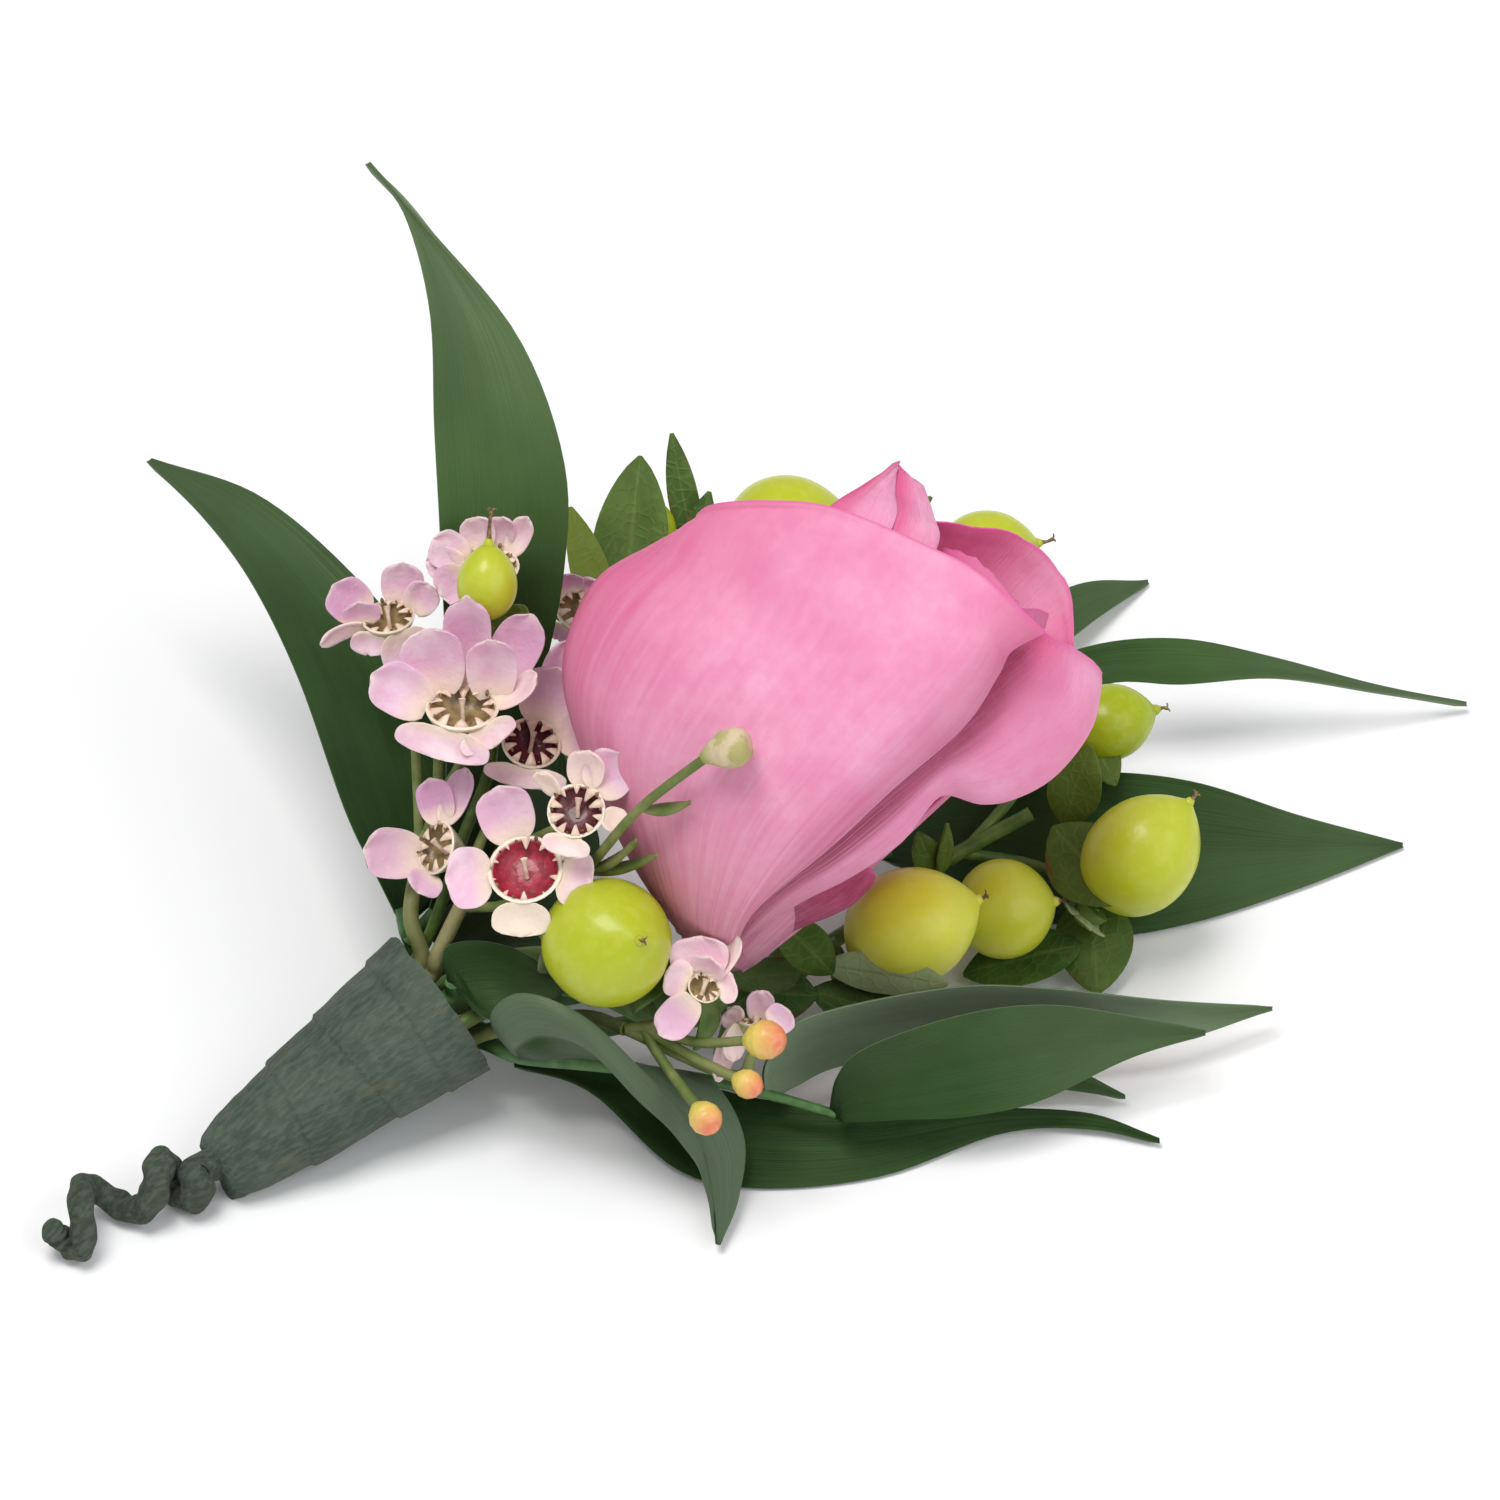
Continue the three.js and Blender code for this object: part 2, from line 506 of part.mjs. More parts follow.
function ruscusBack() {
  const leaves = [
    leaf({
      left: [[47.4, 35.5, 7], [54.1, 46.8, 7.5], [65.3, 62.3, 3.9], [73, 67.4, 0.39]],
      right: [[47.8, 34.5, 7], [57, 44.1, 5], [66.6, 58.4, 2.6], [73.1, 66.9, 0.39]],
      rows: 7,
    }),
    leaf({
      left: [[51.8, 33.5, 8], [59.3, 43.8, 10.5], [66.6, 48.7, 10.5], [74.4, 50.4, 10], [82.3, 50.3, 8],
        [91.9, 50.8, 4], [99.1, 52, 1]],
      right: [[52.2, 32.6, 8], [60.9, 40.5, 8], [68.1, 46.3, 8.5], [74.9, 46.5, 8.5], [83.1, 48.2, 7.5],
        [91.9, 50, 4], [99.1, 51.5, 1]],
      rows: 12,
    }),
    leaf({
      left: [[49.8, 29.8, 6], [57.9, 34, 7.5], [67.5, 35.8, 8.5], [75.5, 35.6, 8], [84.2, 34.7, 5],
        [92.9, 36.1, 0.4]],
      right: [[50.1, 28.7, 6], [59.5, 27, 2.5], [67.7, 25.4, 0.7], [75, 26.9, 0.4], [84.2, 30.9, 0.4],
        [92.9, 35.6, 0.4]],
      rows: 10,
    }),
  ];
  const main = stem(
    rooted(300, [[20, 13.5, 5], [28, 17.5, 3], [38, 23.5, 3.6], [46, 30, 6], [47.8, 35.6, 7]]),
    [0.6, STEM_RADIUS, 0.7, 0.6],
  );
  const branches = [
    stem([[42, 26.5, 4.8], [47.5, 30.5, 7], [52.6, 33.9, 8.2]], [0.6, 0.5]),
    stem([[42, 26.5, 4.8], [46.5, 28, 5.8], [50.6, 29.5, 6.1]], [0.6, 0.5]),
  ];
  return join([...leaves, main, ...branches]);
}

// The single leaf that leaves the mouth of the tape on the viewer's side
function ruscusSmall() {
  const blade = leaf({
    left: [[15.4, 7.4, 14.2], [15.2, 9, 16.2], [17.6, 9.6, 16.5], [20.7, 9.6, 15.6], [23, 8.7, 14.6],
      [24.8, 7.6, 13.8]],
    right: [[15.9, 7, 13.9], [18.2, 4.9, 12.8], [19.8, 4.9, 12.6], [22, 5.2, 12.8], [23.8, 6.4, 13.2],
      [25, 7.2, 13.6]],
    rows: 7,
  });
  return join([blade, stem(rooted(126, [[15.8, 7.3, 14.1]]), [0.6, STEM_RADIUS, 0.6])]);
}

// Hypericum: each berry is a plump egg about its centre along a direction, with a thin style
function berry({ centre, direction, length, radius }) {
  const middle = vec(centre);
  const ahead = vec(direction).normalize();
  const side = new THREE.Vector3(0.3, -0.2, 1).projectOnPlane(ahead).normalize();
  const other = new THREE.Vector3().crossVectors(ahead, side);
  const half = length / 2;
  const profile = [
    [-1, 0.12], [-0.88, 0.5], [-0.55, 0.85], [-0.05, 1], [0.45, 0.86], [0.8, 0.5], [0.95, 0.2],
    [1.02, 0.09], [1.3, 0.06],
  ];
  return loft(profile.map(([along, width]) => Array.from({ length: 10 }, (_, j) => {
    const angle = (j / 10) * Math.PI * 2;
    return middle.clone().addScaledVector(ahead, along * half)
      .addScaledVector(side, width * radius * Math.cos(angle))
      .addScaledVector(other, width * radius * Math.sin(angle));
  })));
}

const BERRIES = [
  { name: 'berry_front', centre: [28.2, 5.9, 20.2], direction: [0.45, -0.6, 0.66], length: 10.8, radius: 5.1 },
  { name: 'berry_right_1', centre: [52.4, 18.2, 9.2], direction: [0.88, -0.35, 0.1], length: 11.4, radius: 4.8 },
  { name: 'berry_right_2', centre: [59.9, 23, 6.2], direction: [0.9, -0.15, 0.35], length: 8.2, radius: 4.1 },
  { name: 'berry_right_3', centre: [70.8, 24.8, 10.8], direction: [0.6, 0.35, 0.6], length: 11, radius: 4.5, reach: 0.5 },
  { name: 'berry_right_4', centre: [68.6, 38.9, 11.6], direction: [0.9, 0.25, 0.1], length: 7.6, radius: 3.2 },
  { name: 'berry_back_1', centre: [42.3, 66.1, 7.6], direction: [0.9, 0.3, 0.1], length: 10.5, radius: 4.6 },
  { name: 'berry_back_2', centre: [59.3, 65.5, 5.4], direction: [0.95, 0.2, 0.05], length: 8.5, radius: 3.6 },
  { name: 'berry_left', centre: [18.5, 30.6, 35.4], direction: [0.05, 0.5, 0.85], length: 6.2, radius: 2.4, reach: 0.5 },
  { name: 'berry_left_2', centre: [31.2, 64, 9.8], direction: [-0.1, 0.6, 0.7], length: 4.6, radius: 1.8 },
];

// A stem to a berry ends just short of it, in five short sepals
function berrySeat({ centre, direction, length, radius }) {
  const ahead = vec(direction).normalize();
  const seat = vec(centre).addScaledVector(ahead, -length / 2 - SEAT_CLEARANCE);
  return { seat, ahead, radius };
}

function seatSepals(item) {
  const { seat, ahead, radius } = berrySeat(item);
  const reach = item.reach ?? 0.68;
  const side = new THREE.Vector3(0.2, -0.5, 1).projectOnPlane(ahead).normalize();
  const other = new THREE.Vector3().crossVectors(ahead, side);
  const star = (outer, inner, tipHeight, height) => Array.from({ length: 10 }, (_, j) => {
    const angle = (j / 10) * Math.PI * 2;
    const isTip = j % 2 === 0;
    const spread = isTip ? outer : inner;
    return seat.clone().addScaledVector(ahead, isTip ? tipHeight : height)
      .addScaledVector(side, spread * Math.cos(angle))
      .addScaledVector(other, spread * Math.sin(angle));
  });
  return loft([
    star(0.5, 0.5, -1.9, -1.9), star(radius * reach, radius * 0.4, -2, -1.1),
    star(radius * reach, radius * 0.4, -1.4, -0.45), star(0.5, 0.5, -0.1, -0.1),
  ]);
}

const berryNamed = (name) => BERRIES.find((item) => item.name === name);

function berryStalk(name, points, radius = 0.6) {
  const item = berryNamed(name);
  const { seat, ahead } = berrySeat(item);
  const stalk = stem([...points, seat.clone().addScaledVector(ahead, -1.5), seat], [radius, radius], 4);
  return join([stalk, seatSepals(item)]);
}

function hypericumFront() {
  return berryStalk('berry_front', rooted(162, [[20.6, 9, 10.9], [24.8, 10.8, 12.6]]), 0.65);
}

function hypericumRight() {
  const main = stem(
    rooted(266, [
      [20, 9.5, 5.6], [28, 11.5, 4.5], [38, 15.5, 4], [47, 22, 4.5], [55, 28.5, 6], [62, 31.5, 8.5],
    ]),
    [0.6, STEM_RADIUS, 0.7, 0.6],
  );
  const stalks = [
    berryStalk('berry_right_1', [[39.5, 16.5, 4.1], [43, 19, 7]]),
    berryStalk('berry_right_2', [[49.5, 24, 4.8], [52.5, 23.9, 4.6]], 0.5),
    berryStalk('berry_right_3', [[56, 29.4, 6.2], [63.4, 28.8, 4.6]], 0.5),
    berryStalk('berry_right_4', [[57, 29.6, 6.6], [60.4, 33.4, 8.4], [62, 36.2, 10.2]], 0.5),
  ];
  const leaves = [
    smallLeaf([40.6, 17.4, 4.4], [50.6, 11.6, 3.8], 4.2, [0.5, 0.6, 0.6]),
    smallLeaf([40, 16.6, 4.3], [41.4, 16.4, 9.2], 3, [1, 0.3, 0.2]),
    smallLeaf([63.4, 28.8, 4.6], [69, 17.8, 2.4], 4.6, [0.5, 0.6, 0.6]),
    smallLeaf([63.4, 28.8, 4.4], [64.4, 18, 0.9], 3.4, [0.9, 0.3, 0]),
    smallLeaf([61.5, 31.2, 8.4], [64.6, 27, 14.6], 4.8, [0.9, 0.4, 0.1]),
    smallLeaf([61.5, 31.4, 8.4], [66.5, 33.5, 12.5], 3.2, [0.6, -0.8, 0]),
    smallLeaf([62.2, 36.6, 10.6], [68.4, 33.4, 9.8], 2.6, [0.5, 0.57, 0.57]),
  ];
  return join([main, ...stalks, ...leaves]);
}

function hypericumBack() {
  const main = stem(
    rooted(336, [[17.5, 18, 8.4], [21, 30, 7], [25, 44, 6], [30, 56, 6.5], [33.5, 61, 7]]),
    [0.6, STEM_RADIUS, 0.7, 0.6],
  );
  const stalks = [
    berryStalk('berry_back_1', [[30, 56, 6.5], [33, 62, 7.6]]),
    berryStalk('berry_back_2', [[25, 44, 6], [38, 56, 4.5], [48, 62.5, 5]], 0.55),
    berryStalk('berry_left_2', [[30, 56, 6.5], [30.6, 60, 6.8]], 0.5),
  ];
  const leaves = [
    smallLeaf([28.6, 55, 6.8], [30, 68, 14.2], 6.4, [1, 0, 0.1], { rows: 5 }),
    smallLeaf([27.6, 52.6, 6.6], [24.2, 62.6, 13.4], 3.4, [0.9, 0.3, 0]),
    smallLeaf([34.6, 63, 7.1], [32.6, 71, 14], 2.6, [1, 0.1, 0.2]),
    smallLeaf([34.4, 62.9, 7.1], [35.8, 66.4, 11.6], 2.4, [1, -0.2, 0]),
    smallLeaf([48, 62.5, 5], [54.5, 68.5, 9], 2.6, [0.7, -0.7, 0]),
    smallLeaf([30, 56, 6.6], [22, 53, 11], 4.4, [0, 1, 0.4]),
  ];
  return join([main, ...stalks, ...leaves]);
}

function hypericumLeft() {
  const points = [[14.8, 14.4, 15.7], [16.4, 19.6, 17.8], [18.6, 25, 21], [18.4, 27.6, 26.5]];
  const blade = smallLeaf([18.5, 27.6, 26.8], [23, 30.6, 31.2], 4.4, [0.57, 0.57, 0.57]);
  return join([berryStalk('berry_left', rooted(36, points), 0.5), blade]);
}

// Waxflower: five round petals about a shallow cup, facing a direction
const WAXFLOWERS = [
  { name: 'waxflower_1', centre: [21.7, 9.6, 24.5], facing: [-0.1, -0.3, 0.95], size: 0.86, turn: -19 },
  { name: 'waxflower_2', centre: [16.6, 22.6, 29.3], facing: [0, 0.12, 1], size: 1.15, turn: 35 },
  { name: 'waxflower_3', centre: [21.9, 23.6, 24.4], facing: [0.15, -0.2, 0.97], size: 0.82, turn: -10 },
  { name: 'waxflower_4', centre: [25.7, 12, 28.6], facing: [-0.1, -0.4, 0.9], size: 0.62, turn: 5 },
  { name: 'waxflower_5', centre: [14.6, 15.2, 21.2], facing: [-0.75, -0.3, 0.6], size: 0.85, turn: 43 },
  { name: 'waxflower_6', centre: [10.4, 33.6, 28.6], facing: [-0.1, 0.1, 1], size: 0.85, turn: 8 },
  { name: 'waxflower_7', centre: [18.6, 35.8, 32.2], facing: [0.05, 0, 1], size: 0.75, turn: 18 },
  { name: 'waxflower_8', centre: [35.6, 3.6, 17.4], facing: [0.3, -0.2, 0.93], size: 0.55, turn: 0 },
  { name: 'waxflower_9', centre: [25.5, 41.4, 21.8], facing: [0.2, -0.2, 0.96], size: 0.75, turn: 5 },
  { name: 'waxflower_10', centre: [39.6, 4, 13], facing: [0.1, 0.6, 0.8], size: 0.5, turn: 60 },
];

function flowerAxes(facing) {
  const out = vec(facing).normalize();
  const right = new THREE.Vector3(1, 0.1, 0).projectOnPlane(out).normalize();
  return { out, right, up: new THREE.Vector3().crossVectors(out, right) };
}

function waxflower({ centre, facing, size = 1, turn = 0 }, index) {
  const { out, right, up } = flowerAxes(facing);
  const at = (radius, angle, height) => vec(centre)
    .addScaledVector(right, size * radius * Math.cos(angle))
    .addScaledVector(up, size * radius * Math.sin(angle))
    .addScaledVector(out, size * height);
  const lobe = [[3.1, -0.62, 0.1], [5.3, -0.42, 0.7], [FLOWER_RADIUS, 0, 0.5], [5.3, 0.42, 0.7]];
  const lobes = (place) => [0, 1, 2, 3, 4].flatMap((k) => (
    lobe.map((corner) => place((k / 5) * Math.PI * 2 + THREE.MathUtils.degToRad(turn), k, corner))
  ));
  const ring = (radius, height) => lobes((middle, k, corner) => at(radius, middle + corner[1], height));
  const outline = (offset) => lobes((middle, k, [radius, angle, height]) => {
    const lift = radius > CUP_RADIUS + 1 ? 0.5 * Math.sin(k * 2.3 + index) : 0;
    return at(radius, middle + angle, height + lift + offset);
  });
  return loft([
    ring(0.6, -3.2), ring(CUP_RADIUS, -0.9), outline(-0.32), outline(0.32),
    ring(CUP_RADIUS - 0.4, 0.4), ring(1.2, -1.5),
  ]);
}

// The stalk of a waxflower ends just under its cup
function flowerStalk(name, points, radius = 0.5) {
  const { centre, facing, size = 1 } = WAXFLOWERS.find((item) => item.name === name);
  const out = vec(facing).normalize();
  const seat = vec(centre).addScaledVector(out, -3.2 * size - 0.35);
  return stem([...points, seat.clone().addScaledVector(out, -0.8), seat], [radius, radius], 4);
}

function waxflowerLeft() {
  const fork = [13.4, 19.8, 18.2];
  const main = stem(rooted(66, [[12.4, 13.4, 15.8], fork]), [0.55, 0.7, 0.6]);
  const stalks = [
    flowerStalk('waxflower_2', [[13.3, 19.3, 17.9], [14.7, 21.2, 20.6], [16, 22.2, 22.8]]),
    flowerStalk('waxflower_6', [[13, 18.3, 17.4], [12.8, 22.6, 20.3], [12.3, 28.6, 23.4], [11.2, 31.6, 23.8]]),
    flowerStalk('waxflower_7', [[14.4, 21.3, 20.4], [14.8, 28.6, 25.6], [16.8, 32.4, 26.4]]),
  ];
  return join([main, ...stalks]);
}

function waxflowerMiddle() {
  const fork = [16.4, 12.4, 17.4];
  const main = stem(rooted(92, [[14.6, 9.6, 14.8], fork]), [0.55, 0.7, 0.6]);
  const stalks = [
    flowerStalk('waxflower_1', [fork, [19.6, 12, 18]]),
    flowerStalk('waxflower_3', [fork, [18, 18, 19.4], [20, 22.6, 19.6]]),
    flowerStalk('waxflower_4', [fork, [20.6, 16.6, 19.4], [24.8, 15.4, 23.6]]),
    flowerStalk('waxflower_5', [fork, [18.4, 15.6, 17.6]]),
    flowerStalk('waxflower_9', [[19.4, 21.6, 19.5], [22.6, 30, 17], [24.4, 40, 16.2]]),
  ];
  const oldStalk = stem(
    [[20.6, 16.6, 19.4], [24, 13, 20.4], [26.1, 11.5, 22.2], [30.6, 9.4, 31.4], [36.3, 9.2, 37.8]],
    [0.45, 0.45], 5, 2,
  );
  const oldHead = stem([[35.8, 9.2, 37.4], [37.2, 9, 38.2], [38.8, 8.8, 39]], [0.6, 1.5, 1.2], 7);
  const needles = [
    smallLeaf([30.6, 9.4, 31.4], [34.6, 8.6, 33], 1.1, [0.3, 0.8, 0.4], { rows: 3 }),
    smallLeaf([26.1, 11.5, 22.2], [30.4, 8.8, 28.6], 1.1, [0.3, 0.8, 0.4], { rows: 3 }),
    smallLeaf([26.1, 11.5, 22.2], [32, 8.4, 27.4], 1.1, [0.3, 0.8, 0.4], { rows: 3 }),
  ];
  return join([main, ...stalks, oldStalk, oldHead, ...needles]);
}

function waxflowerFront() {
  const fork = [29.4, 3.2, 13.2];
  const main = stem(rooted(196, [[20.4, 6.8, 9.6], [26, 6.4, 11.2], fork]), [0.55, 0.7, 0.55]);
  const stalks = [
    flowerStalk('waxflower_8', [fork, [32, 3.4, 13.6]]),
    flowerStalk('waxflower_10', [fork, [37.6, 1.6, 9.6]], 0.45),
  ];
  const buds = [
    [[30.6, 3.6, 13.2], [36, 1.4, 13.4], [40.2, 0.2, 15]],
    [[30.6, 3.6, 13.2], [34.4, 1, 12.6], [38, -1.6, 12.8]],
    [[30.6, 3.6, 13.2], [32.6, 0.6, 11.8], [35, -3.4, 11.5]],
  ].map((points, k) => {
    const radius = [1.8, 1.15, 1.3][k];
    const end = vec(points[2]);
    const ahead = end.clone().sub(vec(points[1])).normalize();
    const bud = stem([
      end.clone().addScaledVector(ahead, -radius * 0.2),
      end.clone().addScaledVector(ahead, radius),
      end.clone().addScaledVector(ahead, radius * 2.2),
    ], [radius * 0.35, radius * 0.95, radius, radius * 0.9, radius * 0.3], 6, 2);
    return join([stem(points, [0.45, 0.45], 4, 2), bud]);
  });
  return join([main, ...stalks, ...buds]);
}

const path = wirePath();
meshFrom(floralTape(path), 'floral_tape', TAPE_GREEN, 0.9);
meshFrom(floralWire(path), 'floral_wire', WIRE_GREEN, 0.5);
meshFrom(roseBloom(), 'rose_bloom', ROSE_PINK, 0.7);
meshFrom(roseStem(), 'rose_stem', LEAF_GREEN, 0.6);
meshFrom(ruscusLeft(), 'ruscus_left', LEAF_GREEN, 0.45);
meshFrom(ruscusFront(), 'ruscus_front', LEAF_GREEN, 0.45);
meshFrom(ruscusBack(), 'ruscus_back', LEAF_GREEN, 0.45);
meshFrom(ruscusSmall(), 'ruscus_small', LEAF_GREEN, 0.45);
meshFrom(hypericumFront(), 'hypericum_front', HYPERICUM_GREEN, 0.6);
meshFrom(hypericumRight(), 'hypericum_right', HYPERICUM_GREEN, 0.6);
meshFrom(hypericumBack(), 'hypericum_back', HYPERICUM_GREEN, 0.6);
meshFrom(hypericumLeft(), 'hypericum_left', HYPERICUM_GREEN, 0.6);
for (const item of BERRIES) {
  meshFrom(berry(item), item.name, BERRY_GREEN, 0.3);
}
meshFrom(waxflowerLeft(), 'waxflower_sprig_left', WAXFLOWER_GREEN, 0.6);
meshFrom(waxflowerMiddle(), 'waxflower_sprig_middle', WAXFLOWER_GREEN, 0.6);
meshFrom(waxflowerFront(), 'waxflower_sprig_front', WAXFLOWER_GREEN, 0.6);
WAXFLOWERS.forEach((item, index) => {
  meshFrom(waxflower(item, index), item.name, WAXFLOWER_PINK, 0.6);
});

export default model;
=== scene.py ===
# A boutonniere on a table: a pink rose with ruscus leaves, hypericum berries and
# waxflower, wound together in florist's tape. Points and sizes are in millimetres, in the
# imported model's frame: +X to the right of the picture, +Y away from the viewer, +Z up.
import math
import random

import bpy
from mathutils import Matrix, Vector, noise


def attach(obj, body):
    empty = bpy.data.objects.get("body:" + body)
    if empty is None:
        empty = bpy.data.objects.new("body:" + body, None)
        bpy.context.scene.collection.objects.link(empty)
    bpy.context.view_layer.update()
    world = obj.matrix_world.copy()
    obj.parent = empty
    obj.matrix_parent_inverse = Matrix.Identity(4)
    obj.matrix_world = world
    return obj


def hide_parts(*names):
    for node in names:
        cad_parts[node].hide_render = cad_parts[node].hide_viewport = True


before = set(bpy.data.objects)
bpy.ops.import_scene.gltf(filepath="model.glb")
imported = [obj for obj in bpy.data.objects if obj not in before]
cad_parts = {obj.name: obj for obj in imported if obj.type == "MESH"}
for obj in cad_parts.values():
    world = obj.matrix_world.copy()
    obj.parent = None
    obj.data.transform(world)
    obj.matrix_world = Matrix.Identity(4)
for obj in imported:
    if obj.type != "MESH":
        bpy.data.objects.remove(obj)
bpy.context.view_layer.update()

# Table, light and camera. The bunch lies on a smooth white table in a bright studio, under
# a broad soft light overhead, a little to the left, with a weaker one at the right. The
# camera is far off with a long lens and looks down at 45 degrees.
MM = 0.001
TABLE_SIZE = 3.0
CAMERA_TARGET = Vector((0.0392, 0.0473, 0.0))
CAMERA_DISTANCE = 0.676
CAMERA_ELEVATION = math.radians(45)
LENS_MM = 194.8
SENSOR_MM = 36

picture_near = Vector((0, -math.cos(CAMERA_ELEVATION), math.sin(CAMERA_ELEVATION)))


def placed(name, data):
    """A new object that holds the data."""
    made = bpy.data.objects.new(name, data)
    bpy.context.collection.objects.link(made)
    return made


def soft_light(name, place, size, power, colour):
    lamp = bpy.data.lights.new(name, "AREA")
    lamp.shape = "SQUARE"
    lamp.size = size
    lamp.energy = power
    lamp.color = colour
    holder = placed(name, lamp)
    holder.location = place
    holder.rotation_euler = (CAMERA_TARGET - place).to_track_quat("-Z", "Y").to_euler()


half = TABLE_SIZE / 2
table_mesh = bpy.data.meshes.new("table_top")
table_mesh.from_pydata(
    [(-half, -half, 0), (half, -half, 0), (half, half, 0), (-half, half, 0)], [], [(0, 1, 2, 3)]
)
table_white = bpy.data.materials.new("table_white")
table_white.use_nodes = True
table_shader = table_white.node_tree.nodes["Principled BSDF"]
table_shader.inputs["Base Color"].default_value = (0.93, 0.93, 0.94, 1)
table_shader.inputs["Roughness"].default_value = 0.85
table_mesh.materials.append(table_white)
placed("table_top", table_mesh)

soft_light("key_light", Vector((-0.18, -0.06, 0.97)), 0.45, 6.0, (1.0, 0.99, 0.97))
soft_light("fill_light", Vector((0.75, -0.45, 0.65)), 0.9, 3.8, (0.96, 0.98, 1.0))

world = bpy.data.worlds.new("studio")
world.use_nodes = True
sky = world.node_tree.nodes["Background"]
sky.inputs["Color"].default_value = (0.97, 0.98, 1.0, 1)
sky.inputs["Strength"].default_value = 0.5
bpy.context.scene.world = world
bpy.context.scene.view_settings.view_transform = "Standard"

camera = placed("camera", bpy.data.cameras.new("camera"))
camera.data.lens = LENS_MM
camera.data.sensor_width = SENSOR_MM
camera.location = CAMERA_TARGET + CAMERA_DISTANCE * picture_near
camera.rotation_euler = (math.pi / 2 - CAMERA_ELEVATION, 0, 0)
bpy.context.scene.camera = camera

# Florist's tape. One strip of stretched green crepe paper is wound up the stems from the
# wire at their lower end to a wide mouth, each turn over the last, and it sticks to itself.
# The tape goes on down the wire, which is curled round a pencil into a short pigtail.
TAPE_LENGTH = 22
BORE_DEPTH = 8
TAPE_END = Vector((-2.8, -1.6, 2.05))
TAPE_HEADING = math.radians(33)
TAPE_SLOPE = math.radians(18.7)
TAPE_PROFILE = [
    (0, 2.4), (0.6, 2.9), (2.5, 3.45), (4.5, 3.85), (7, 4.2), (13.4, 4.9), (18.6, 5.45), (22, 5.8),
]
TAPE_MOUTH = [(0, 6.0), (0.4, 5.85), (3, 5.35), (BORE_DEPTH, 4.4)]
TAPE_SEAMS = [(7.2, 0.9, 40), (13.6, -0.5, 80), (18.8, 0.35, 20)]
TAPE_STEP = 0.25
FLAP_SIZE = 0.8
FLAP_TURN = math.radians(255)
TAIL_RADII = [1.35, 1.35, 1.2, 1.05, 1.0, 0.95]
COIL_RADIUS = 1.5
COIL_HEIGHT = 2.85
TAPE_ROWS = 130
TAPE_SIDES = 144
COIL_STEPS = 30
CREASE_ANGLE = math.radians(62)
EDGE_THINNING = 0.3

tape_axis = Vector((
    math.cos(TAPE_SLOPE) * math.cos(TAPE_HEADING),
    math.cos(TAPE_SLOPE) * math.sin(TAPE_HEADING),
    math.sin(TAPE_SLOPE),
))
tape_side = Vector((-math.sin(TAPE_HEADING), math.cos(TAPE_HEADING), 0))
tape_up = tape_axis.cross(tape_side)


def held(value, low=0, high=1):
    return min(max(value, low), high)


def on_curve(points, t):
    """The place on a smooth line through the points, from 0 at the first to 1 at the last."""
    points = [Vector(p) for p in points]
    spans = len(points) - 1
    place = held(t) * spans
    i = min(int(place), spans - 1)
    f = place - i
    b, c = points[i], points[i + 1]
    a = points[i - 1] if i > 0 else 2 * b - c
    d = points[i + 2] if i + 2 <= spans else 2 * c - b
    return 0.5 * (
        2 * b + (c - a) * f + (2 * a - 5 * b + 4 * c - d) * f * f + (3 * b - a - 3 * c + d) * f ** 3
    )


def curve_heading(points, t):
    step = 0.002
    return (on_curve(points, min(t + step, 1)) - on_curve(points, max(t - step, 0))).normalized()


def between(values, t):
    """The value at t on a broken line through values spread evenly from 0 to 1."""
    place = held(t) * (len(values) - 1)
    i = min(int(place), len(values) - 2)
    return values[i] + (values[i + 1] - values[i]) * (place - i)


def towards(angle, first, second):
    """The direction at an angle from the first axis towards the second."""
    return first * math.cos(angle) + second * math.sin(angle)


